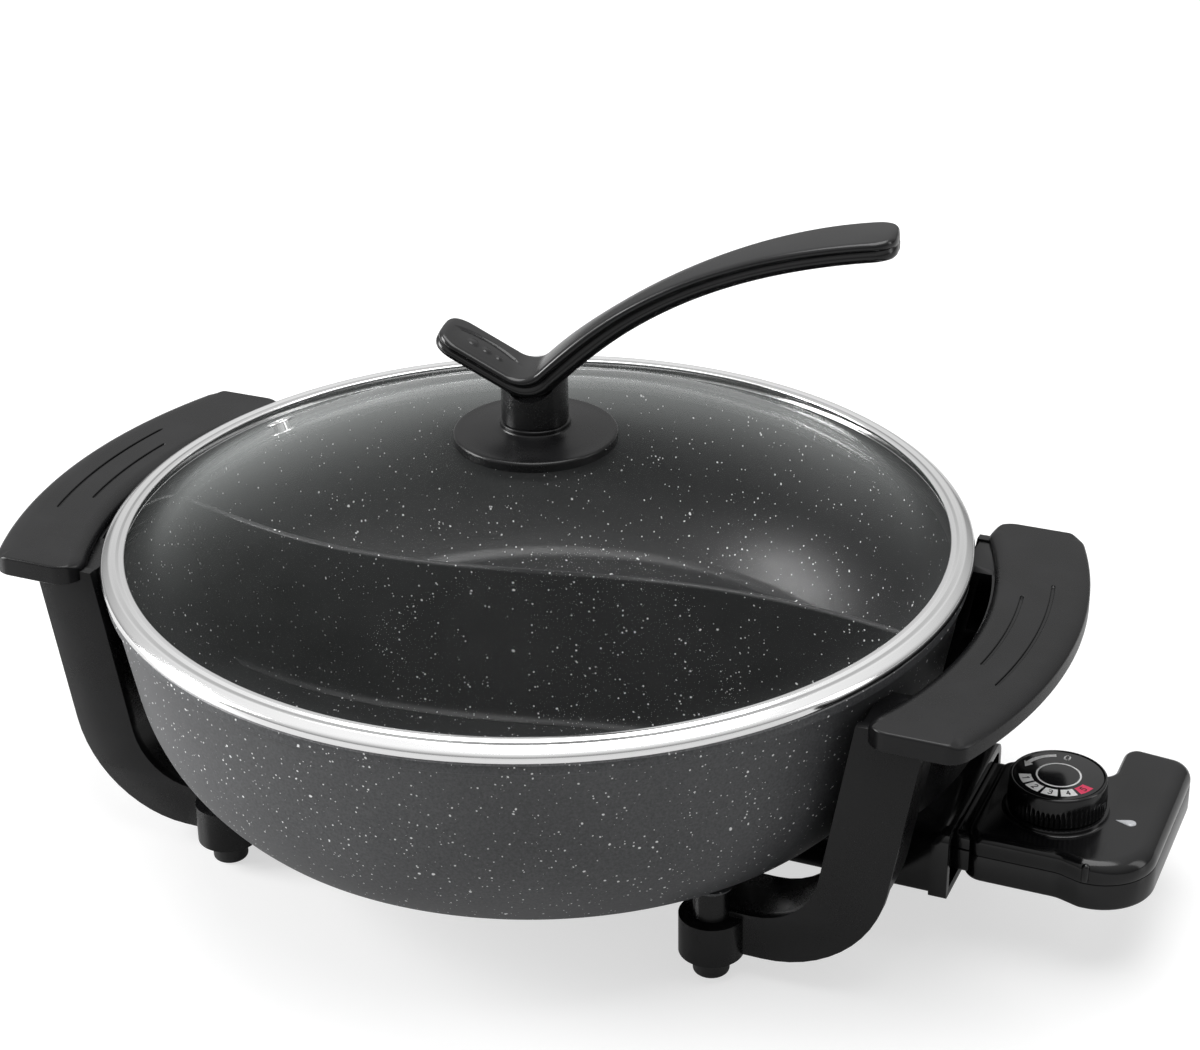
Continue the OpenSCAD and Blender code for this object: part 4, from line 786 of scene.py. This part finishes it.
def make_dial():
    """The dial: a lower band of upright ribs, over it a plain band that leans slightly in, a thin
    raised lip and the well for the disc. The ribs fade out upwards."""
    steps = RIBS * 12
    a = np.linspace(0, 2 * np.pi, steps, endpoint=False)
    wave = (0.5 - 0.5 * np.cos(a * RIBS)) ** 0.7
    top = DIAL_LOW_Z + DIAL_H
    # radius, height and share of the ribs' depth, up the side and down into the well
    profile = [
        (3.1, 0.0, 0), (17.2, 0.0, 0), (18.3, 0.15, 0.3), (18.75, 0.7, 1), (18.75, 2.5, 1),
        (18.75, 4.4, 1), (18.75, 5.4, 0.8), (18.7, 6.1, 0.35), (18.65, 6.8, 0.05), (18.6, 8.5, 0),
        (18.5, 11.2, 0), (18.4, 11.9, 0), (18.1, 12.35, 0), (17.75, 12.5, 0), (17.4, 12.45, 0),
        (17.1, 12.15, 0), (17.0, 11.75, 0), (3.1, 11.75, 0)]
    rings = []
    for r, z, ribbed in profile:
        r = r - RIB_DEPTH * ribbed * wave
        ring = np.stack([DIAL_X + r * np.cos(a), r * np.sin(a)], axis=1)
        rings.append(at_height(ring, DIAL_LOW_Z + z))
    Surface().stack(rings).make(
        "ribbed_dial", "dial", [gloss_black], 38, "gloss_black", ["dial_knob"])
    disc = np.concatenate([[[0.8, top - 0.8], [16.9, top - 0.8]],
                           arc((16.75, top - 0.25), 0.15, 0, 90, 2), [[0.8, top - 0.1]]])
    Surface().spin(disc, 128, (DIAL_X, 0.0)).make(
        "dial_disc", "dial", [dial_gloss], 32, "dial_print", ["dial_face"])


PRINT_Z = DIAL_LOW_Z + DIAL_H - 0.1


def plate(outline, low=-0.02, high=0.06):
    """A thin plate of ink on the disc."""
    return [at_height(outline, PRINT_Z + low), at_height(outline, PRINT_Z + high)]


def sector(inner, outer, start, end, steps=16):
    """A piece of a flat ring between two directions, in degrees from the zero mark."""
    centre = (DIAL_X, 0.0)
    return np.concatenate([arc(centre, outer, start + 90, end + 90, steps),
                           arc(centre, inner, end + 90, start + 90, steps)])


# Strokes of plain figures on a grid one wide and two high
FIGURES = {
    "0": [[(0, 0.3), (0, 1.7), (0.3, 2), (0.7, 2), (1, 1.7), (1, 0.3), (0.7, 0), (0.3, 0),
           (0, 0.3)]],
    "1": [[(0.15, 1.6), (0.55, 2), (0.55, 0)]],
    "2": [[(0, 1.6), (0.3, 2), (0.7, 2), (1, 1.7), (1, 1.3), (0, 0), (1, 0)]],
    "3": [[(0, 1.8), (0.3, 2), (0.7, 2), (1, 1.7), (1, 1.3), (0.7, 1.05), (0.35, 1.05)],
          [(0.7, 1.05), (1, 0.75), (1, 0.3), (0.7, 0), (0.3, 0), (0, 0.2)]],
    "4": [[(0.75, 0), (0.75, 2), (0, 0.6), (1, 0.6)]],
    "5": [[(0.95, 2), (0.1, 2), (0.05, 1.15), (0.6, 1.2), (1, 0.9), (1, 0.35), (0.65, 0),
           (0.3, 0), (0, 0.25)]],
}


def figure(surface, mark, angle, radius, height, width, stroke, lift):
    """A figure's strokes as thin bars with round ends, its foot towards the dial's middle."""
    for line in FIGURES[mark]:
        points = (np.array(line, float) - (0.5, 1.0)) * (width, height / 2) + (0.0, radius)
        for p, q in zip(points[:-1], points[1:]):
            heading = math.degrees(math.atan2(q[1] - p[1], q[0] - p[0]))
            bar = np.concatenate([arc(q, stroke / 2, heading - 90, heading + 90, 5),
                                  arc(p, stroke / 2, heading + 90, heading + 270, 5)])
            x, y = swung(bar[:, 0], bar[:, 1], angle)
            surface.stack(plate(np.column_stack([x + DIAL_X, y]), lift - 0.01, lift + 0.05))


def make_marks():
    """The disc's print: a ring round the middle, a zero, an arrow along a quarter circle, and
    five blocks with the plain figures 1 to 5, the last one coloured."""
    white, dark, pink = Surface(), Surface(), Surface()
    low, high = PRINT_Z - 0.02, PRINT_Z + 0.06
    white.revolve([(7.9, low), (8.6, low), (8.6, high), (7.9, high)], 128, (DIAL_X, 0.0))
    figure(white, "0", 0, 13.1, 3.0, 1.9, 0.55, 0.01)
    white.stack(plate(sector(13.0, 14.7, 18, 72, 30)))
    tip = [arc((DIAL_X, 0), r, angle + 90, angle + 90, 0) for r, angle in (
        (11.8, 70), (15.7, 70), (13.5, 84))]
    white.stack(plate(np.concatenate(tip)))
    for i in range(5):
        middle = 120.0 + 30.0 * i
        ink = pink if i == 4 else white
        ink.stack(plate(sector(10.4, 15.0, middle - 12.4, middle + 12.4)))
        figure(dark, str(i + 1), middle + 180, -12.7, 2.6, 1.3, 0.42, 0.06)
    for marks, name, ink in ((white, "white_marks", white_ink), (dark, "dark_figures", dial_gloss),
                             (pink, "coloured_mark", pink_ink)):
        marks.make(name, "dial", [ink], 30, "dial_print")


make_dial()
make_marks()

# ---------------- lens


def make_lens():
    """The pilot light's lens: a teardrop whose top swells up from its edge."""
    x, r, far, low, edge = 242.0, 2.1, 5.9, 47.8, 50.05
    side = math.degrees(math.acos(r / far))
    outline = np.concatenate([arc((x, 0), r, side - 180, 180 - side, 32), [(x - far, 0.0)]])
    middle = outline.mean(axis=0)
    rings = [at_height(outline, low), at_height(outline, edge)]
    for k in (0.93, 0.8, 0.6, 0.3):
        rise = 0.5 * math.sqrt(1 - k * k)
        rings.append(at_height(middle + (outline - middle) * k, edge + rise))
    Surface().stack(rings).make(
        "pilot_window", "thermostat", [lens_plastic], 50, "lens", ["pilot_lens"])


make_lens()

# ---------------- pan underside

BASE_R = float(wall_radius(BASE_Z))
HEATER_R, HEATER_GAP, RIB_LOW_Z = BASE_R - 42.5, 25.0, BASE_Z - 8.0
PIN_Y, PIN_Z, GUARD_SCREW_Y = 13.0, 38.5, 27.0


def heater_path(end_x):
    """The heater's middle line: along one tail, round a small bend, round the loop and back."""
    gap = math.radians(HEATER_GAP)
    bend_r = (HEATER_R * math.sin(gap) - PIN_Y) / (1 - math.sin(gap))
    cx, cy = (HEATER_R + bend_r) * math.cos(gap), (HEATER_R + bend_r) * math.sin(gap)
    tail = np.stack([np.linspace(end_x, cx, 8, endpoint=False), np.full(8, PIN_Y)], axis=1)
    bend = arc((cx, cy), bend_r, 270, 180 + HEATER_GAP, 16)
    loop = arc((0, 0), HEATER_R, HEATER_GAP, 180, 96)[1:]
    half = np.concatenate([tail, bend, loop])
    return np.concatenate([half, half[-2::-1] * (1, -1)])


def make_underside():
    """What is cast on under the pan: a rib over the heater, with slanting sides and soft corners,
    a block over the probe's sleeve, and round pads for the columns and the guard's screws."""
    path = heater_path(BASE_R - 6.0)
    along = np.gradient(path, axis=0)
    along /= np.linalg.norm(along, axis=1, keepdims=True)
    low, join = RIB_LOW_Z, BASE_Z + 1
    d, z = rounded([
        (-7.5, join, 0), (-7.3, BASE_Z - 0.5, 0.3), (-5.0, low, 1.4), (5.0, low, 1.4),
        (7.3, BASE_Z - 0.5, 0.3), (7.5, join, 0)], 5).T
    rings = np.stack([path[:, :1] - along[:, 1:] * d, path[:, 1:] + along[:, :1] * d,
                      np.broadcast_to(z, (len(path), len(z)))], axis=-1)
    under = Surface().stack(rings)
    x0, x1 = BASE_R - 58.0, BASE_R - 6.0
    block = rounded([(x0, -6.4, 2), (x1, -6.4, 2), (x1, 6.4, 2), (x0, 6.4, 2)], 5)
    under.stack([at_height(inset(block, d), z) for d, z in (
        (1.2, low), (0.5, low + 0.4), (0.0, low + 1.4), (0.0, join))])
    screws = [(BASE_R - 16.5, y, 5.5) for y in (GUARD_SCREW_Y, -GUARD_SCREW_Y)]
    for x, y, r in [(x, y, 8.0) for x in (FOOT_X, -FOOT_X) for y in (FOOT_Y, -FOOT_Y)] + screws:
        under.spin([(0.5, BASE_Z - 2), (r - 0.5, BASE_Z - 2), (r, BASE_Z - 1.6),
                    (r + 0.25, BASE_Z - 0.4), (r + 1.0, BASE_Z + 0.02)], 48, (x, y))
    under.make("pan_underside", "pot", [coat_outside], 32, "pan_coating")


# ---------------- grips

GRIP_IN_R, GRIP_OUT_R, GRIP_HALF, GRIP_CORNER = 179.0, 215.5, 87.0, 9.0
GRIP_TOP_Z, GRIP_LOW_Z, GRIP_UNDER_Z = 122.5, 114.5, 118.5


def soft_step(x, low, high):
    """0 up to low, 1 from high on and a soft step between them."""
    t = np.clip((x - low) / (high - low), 0, 1)
    return t * t * (3 - 2 * t)


def grip_outline(d):
    """The crescent seen from above, moved inwards by d: two arcs round the pan's axis joined by
    short arcs at the four corners."""
    y, r = GRIP_HALF - GRIP_CORNER, GRIP_CORNER - d
    out_x = math.sqrt((GRIP_OUT_R - GRIP_CORNER) ** 2 - y * y)
    in_x = math.sqrt((GRIP_IN_R + GRIP_CORNER) ** 2 - y * y)
    out_a, in_a = math.degrees(math.atan2(y, out_x)), math.degrees(math.atan2(y, in_x))
    upper = np.concatenate([arc((out_x, y), r, out_a, 90, 10),
                            arc((in_x, y), r, 90, 180 + in_a, 14)])
    outer = arc((0, 0), GRIP_OUT_R - d, 0.4 - out_a, out_a - 0.4, 70)
    inner = arc((0, 0), GRIP_IN_R + d, in_a - 0.4, 0.4 - in_a, 60)
    return np.concatenate([outer, upper, inner, upper[::-1] * (1, -1)])


def make_grip(side):
    """A grip cap: a crescent shell, open below and notched over its bracket, with two screw posts.
    Its top edge falls away over a quarter ellipse, wide and shallow on the outer side, steeper
    towards the pan and small at the ends. Two curved grooves run along the middle."""
    mirror = 1.0 if side == "right" else -1.0
    flip = np.array([mirror, 1.0, 1.0])
    outline = grip_outline(0.0)
    inwards = inward(outline)
    away = -np.sum(inwards * outline, axis=1) / np.linalg.norm(outline, axis=1)
    outer, inner = soft_step(away, 0.55, 0.97), soft_step(-away, 0.2, 0.9)
    width = (1.0 + 6.0 * outer + 5.0 * inner)[:, None]
    fall = 1.0 + 1.5 * outer + 2.5 * inner
    rings = [at_height(grip_outline(d), z) for d, z in (
        (3.6, GRIP_UNDER_Z), (3.0, GRIP_UNDER_Z - 0.6), (3.0, GRIP_LOW_Z + 0.3),
        (2.7, GRIP_LOW_Z), (0.3, GRIP_LOW_Z), (0.0, GRIP_LOW_Z + 0.3))]
    for a in np.radians([0, 6, 15, 26, 38, 50, 62, 74, 83, 90]):
        rings.append(np.column_stack([outline + inwards * width * (1 - math.cos(a)),
                                      GRIP_TOP_Z - fall * (1 - math.sin(a))]))
    rings.append(at_height(outline + inwards * (width + 0.6), GRIP_TOP_Z))
    grip = Surface().stack(np.array(rings) * flip)
    post = [(1.5, 116.0), (5.2, 116.0), (5.5, 116.3), (5.5, 118.6), (1.5, 118.6)]
    for y in (-32.0, 32.0):
        grip.spin(post, 48, (192.0 * mirror, y))
    piece = grip.make(
        f"{side}_grip_cap", "pot", [satin_black], 35, "bakelite", [f"{side}_grip"])
    across, deep = np.array([
        (-1.0, 0.6), (-1.0, 0.02), (-0.72, -0.2), (-0.6, -0.75), (0, -0.9), (0.6, -0.75),
        (0.72, -0.2), (1.0, 0.02), (1.0, 0.6)]).T
    knife = Surface()
    for radius, half in ((GRIP_OUT_R - 14.0, 11.8), (GRIP_OUT_R - 25.0, 8.6)):
        a = np.radians(np.linspace(-half, half, 90))[:, None]
        gone = (math.radians(half) - np.abs(a)) * radius
        wide = np.maximum(0.85 - round_end(gone, 0.8), 0.15)
        r, z = radius + across * wide, GRIP_TOP_Z + np.where(deep > 0, deep, deep * wide / 0.85)
        knife.stack(np.stack([r * np.cos(a), r * np.sin(a), z], axis=-1) * flip)
    knife.stack(box((-5.0, 183.8), (-80.3, 80.3), (112.0, GRIP_UNDER_Z)) * flip)
    cut(piece, knife)


# ---------------- thermostat

CASE_X, CASE_FAR_X, CASE_LOW_Z, CASE_SEAM_Z, CASE_TOP_Z = 185.0, 255.0, 30.0, 41.5, 50.0
NOSE_X, NOSE_HALF, NOSE_LOW_Z, NOSE_TOP_Z = 162.0, 28.0, 31.5, 48.5
GLAND_X, GLAND_Z, GLAND_R = 241.5, 38.7, 5.55
CASE_SCREWS = ((192, 22), (192, -22), (242, -16), (246, 35))
case_outline = rounded([
    (CASE_X, -30, 8), (222, -30, 12), (231, -33, 8), (CASE_FAR_X, -33, 22), (CASE_FAR_X, 55, 8),
    (228, 55, 6), (228, 30, 7), (CASE_X, 30, 8)], 14)


def make_case():
    """The thermostat's case in two shells that meet at a fine groove. Each is an L-shaped
    outline: the lower one with a rounded bottom edge, the upper one with a top edge whose
    rounding grows towards the far side. Both carry a half of the nose, and bores run into it for
    the contact sleeves and the probe."""
    edge = (3.5 + 3.0 * soft_step(case_outline[:, 0], 228.0, CASE_FAR_X))[:, None]
    inwards, seam = inward(case_outline), CASE_SEAM_Z
    upper = [at_height(inset(case_outline, d), z) for d, z in (
        (2.8, 47.8), (2.2, 47.2), (2.2, seam + 0.05), (0.45, seam + 0.05), (0.12, seam + 0.15),
        (0.0, seam + 0.45))]
    for a in np.radians([0, 4, 10, 18, 27, 36, 45, 54, 63, 72, 80, 86, 90]):
        upper.append(np.column_stack([case_outline + inwards * edge * (1 - math.cos(a)),
                                      CASE_TOP_Z - edge[:, 0] * (1 - math.sin(a))]))
    upper.append(at_height(case_outline + inwards * (edge + 0.5), CASE_TOP_Z))
    round_edge = [(1.5 * (1 - math.cos(a)), CASE_LOW_Z + 1.5 * (1 - math.sin(a)))
                  for a in np.radians([90, 75, 60, 45, 30, 15, 0])]
    lower = [at_height(inset(case_outline, d), z) for d, z in (
        (1.9, CASE_LOW_Z), *round_edge, (0.0, seam - 0.45), (0.12, seam - 0.15),
        (0.45, seam - 0.05), (2.2, seam - 0.05), (2.2, 32.8), (2.8, 32.2))]
    top, bottom = Surface().stack(upper), Surface().stack(lower)
    for half, low, high, r_low, r_high in ((top, seam + 0.05, NOSE_TOP_Z, 0.7, 3.0),
                                           (bottom, NOSE_LOW_Z, seam - 0.05, 2.0, 0.7)):
        shape = rounded([(-NOSE_HALF, low, r_low), (NOSE_HALF, low, r_low),
                         (NOSE_HALF, high, r_high), (-NOSE_HALF, high, r_high)], 6)
        half.stack([across_x(inset(shape, d), x) for d, x in (
            (0.5, NOSE_X), (0.15, NOSE_X + 0.15), (0.0, NOSE_X + 0.5), (0.0, CASE_X + 3.0))])
    step = [(3.2, 49.6), (20.7, 49.6), (20.7, 50.0), (20.15, 50.1), (19.85, 50.4),
            (19.75, 50.9), (19.75, 51.5), (19.6, 51.85), (19.25, 52.0), (3.2, 52.0)]
    top.spin(step, 128, (DIAL_X, 0.0))
    nub = np.concatenate([[(0.1, 42.5), (1.3, 42.5), (1.5, 42.8), (1.5, 48.4)],
                          arc((0, 48.4), 1.5, 10, 88, 6)])
    top.spin(nub, 32, (CASE_FAR_X - 22.0, -32.7))
    pointer = np.array([(DIAL_X, 19.3), (DIAL_X + 2.5, 24.6), (DIAL_X - 2.5, 24.6)])
    top.stack([at_height(pointer, 49.8), at_height(pointer, 50.6),
               at_height(pointer * 0.8 + pointer.mean(0) * 0.2, 50.85)])
    knife = Surface()
    for y, r, end in ((PIN_Y, 4.55, 187.0), (-PIN_Y, 4.55, 187.0), (0.0, 3.25, 190.0)):
        bore = arc((y, PIN_Z), r, 0, 360, 48)[:-1]
        knife.stack([across_x(bore, NOSE_X - 2.0), across_x(bore, end)])
    x, z = arc((GLAND_X, GLAND_Z), GLAND_R, 0, 360, 64)[:-1].T
    knife.stack([np.column_stack([x, 0 * x + y, z]) for y in (51.5, 57.0)])
    recess = [(0.1, 28.0), (2.8, 28.0), (2.8, 32.0), (0.1, 32.0)]
    for half, which, node in ((top, "upper", "case_top"), (bottom, "lower", "case_bottom")):
        if half is bottom:
            for x, y in CASE_SCREWS:
                knife.spin(recess, 32, (x, y))
        shell = half.make(
            f"{which}_case", "thermostat", [gloss_black], 35, "gloss_black", [node])
        cut(shell, knife)


make_underside()
for side in ("right", "left"):
    make_grip(side)
make_case()

# ---------------- carried-over pieces


def softened(node, name, body, material, width):
    """A CAD piece's own shape with its loose faces merged and its edges slightly rounded."""
    piece = linked(name, nodes[node].data.copy())
    piece.data.materials.clear()
    weld = piece.modifiers.new("weld", "WELD")
    weld.merge_threshold = 0.00001
    flat = piece.modifiers.new("flat", "DECIMATE")
    flat.decimate_type, flat.angle_limit = "DISSOLVE", math.radians(1.2)
    edge = piece.modifiers.new("edge", "BEVEL")
    edge.width, edge.segments, edge.limit_method = width * MM, 2, "ANGLE"
    edge.angle_limit, edge.harden_normals = math.radians(32), False
    settled(piece)
    finish_mesh(piece.data, [material], 40.0)
    return placed(piece, body, [node])


for side in ("right", "left"):
    legs = softened(f"{side}_bracket", f"{side}_legs", "pot", satin_black, 0.9)
    knife = Surface()
    x = FOOT_X if side == "right" else -FOOT_X
    for y in (FOOT_Y, -FOOT_Y):
        knife.stack(box((x - 15.0, x + 15.0), (y - 15.0, y + 15.0), (2.0, FOOT_TOP)))
    cut(legs, knife, 40.0)
softened("socket_guard", "pin_guard", "pot", gloss_black, 0.6)

carried = {
    "heater_tube": plain_steel, "terminal_pins": plain_steel, "ceramic_collars": ceramic,
    "probe_sleeve": plain_steel, "guard_screws": plain_steel, "grip_screws": plain_steel,
    "leg_screws": plain_steel, "contact_sleeves": brass, "probe_rod": plain_steel,
    "thermostat_frame": plain_steel, "contact_blades": brass, "pilot_lamp": lamp_glow,
    "case_screws": plain_steel, "cord_gland": rubber, "dial_shaft": plain_steel,
    "lid_washer": silicone, "lid_screw": plain_steel,
}
for node, material in carried.items():
    mesh = nodes[node].data
    mesh.materials.clear()
    mesh.materials.append(material)

# ---------------- floor, light and camera


def upright(right, up, back, place):
    """The transform of something that looks against back from place."""
    turn = Matrix(np.stack([right, up, back], axis=1).tolist())
    return Matrix.Translation(place) @ turn.to_4x4()


def make_camera():
    """The photograph's viewpoint: in front, to the right and above, with a long lens. A heading,
    a pitch and a slight roll, in degrees."""
    data = bpy.data.cameras.new("photo_camera")
    data.sensor_width, data.lens, data.clip_start, data.clip_end = 36.0, 81.0, 0.05, 50.0
    heading, pitch, roll = np.radians([23.34, 26.8, -0.89])
    flat = np.cos(pitch)
    forward = np.array([-np.sin(heading) * flat, np.cos(heading) * flat, -np.sin(pitch)])
    right = np.array([np.cos(heading), np.sin(heading), 0.0])
    up = np.cross(right, forward)
    camera = linked("photo_camera", data)
    camera.matrix_world = upright(
        math.cos(roll) * right + math.sin(roll) * up, math.cos(roll) * up - math.sin(roll) * right,
        -forward, (0.3989, -0.8630, 0.6109))
    bpy.context.scene.camera = camera


def make_floor():
    """A wide pale floor. The camera, gloss and glass see it brighter than the light makes it,
    most of all away from the pot."""
    mesh = bpy.data.meshes.new("floor")
    mesh.from_pydata([(-6, -6, 0), (6, -6, 0), (6, 6, 0), (-6, 6, 0)], [], [(0, 1, 2, 3)])
    floor = linked("floor", mesh)
    shader = Shader("pale_floor", (0.44, 0.44, 0.44), Roughness=0.32, Specular_IOR_Level=0.25)
    x, y, _ = shader.parts(shader.place())
    away = (x * x + y * y).power(0.5).step(0.18, 0.75)
    path = shader.tree.nodes.new("ShaderNodeLightPath")
    camera, glassy, glossy = (Value(path.outputs[f"Is {kind} Ray"], shader)
                              for kind in ("Camera", "Transmission", "Glossy"))
    seen = camera + glassy + glossy * 0.3
    shader.gloss.inputs["Emission Color"].default_value = (1, 1, 1, 1)
    shader.set("Emission Strength", seen * (away * 0.14 + 0.62))
    mesh.materials.append(shader.material)


def make_world():
    """Even white surroundings. The camera and the glass see plain white, gloss sees white overhead
    that falls to grey at the horizon, and everything else gets a softer fill."""
    world = bpy.data.worlds.new("studio")
    bpy.context.scene.world = world
    world.use_nodes = True
    tree = world.node_tree
    background = tree.nodes["Background"]
    background.inputs["Color"].default_value = (1, 1, 1, 1)
    path = tree.nodes.new("ShaderNodeLightPath")
    place = tree.nodes.new("ShaderNodeTexCoord")
    split = tree.nodes.new("ShaderNodeSeparateXYZ")
    tree.links.new(place.outputs["Generated"], split.inputs[0])

    def ranged(value, lowest, highest, low=0.0, high=1.0):
        """A value carried from one range to another, and the new range's ends may be linked."""
        step = tree.nodes.new("ShaderNodeMapRange")
        for key, number in (("From Min", low), ("From Max", high), ("To Min", lowest),
                            ("To Max", highest)):
            if isinstance(number, float):
                step.inputs[key].default_value = number
            else:
                tree.links.new(number, step.inputs[key])
        tree.links.new(value, step.inputs["Value"])
        return step.outputs[0]

    sweep = ranged(split.outputs[2], 0.22, 1.1, -0.05, 0.9)
    strength = ranged(path.outputs["Is Glossy Ray"], 0.24, sweep)
    strength = ranged(path.outputs["Is Camera Ray"], strength, 1.0)
    strength = ranged(path.outputs["Is Transmission Ray"], strength, 1.0)
    tree.links.new(strength, background.inputs["Strength"])


def make_lamp(name, place, aim, size, power):
    """A soft rectangular lamp at place, turned towards aim, in metres and watts."""
    data = bpy.data.lights.new(name, "AREA")
    data.shape, data.size, data.size_y, data.energy = "RECTANGLE", size[0], size[1], power
    lamp = linked(name, data)
    back = np.array(place, float) - np.array(aim, float)
    back /= np.linalg.norm(back)
    side = np.cross([0.0, 0.0, 1.0], back)
    side /= np.linalg.norm(side)
    lamp.matrix_world = upright(side, np.cross(back, side), back, place)


make_camera()
make_floor()
make_world()
make_lamp("overhead", (0.1, 0.1, 1.6), (0.0, 0.0, 0.1), (1.6, 1.2), 25.0)
make_lamp("left_front", (-1.5, -0.55, 0.7), (0.0, 0.0, 0.1), (0.8, 1.1), 38.0)
make_lamp("right_side", (1.6, 0.3, 0.7), (0.1, 0.0, 0.1), (0.4, 1.2), 4.0)

bpy.context.scene.view_settings.view_transform = "Standard"
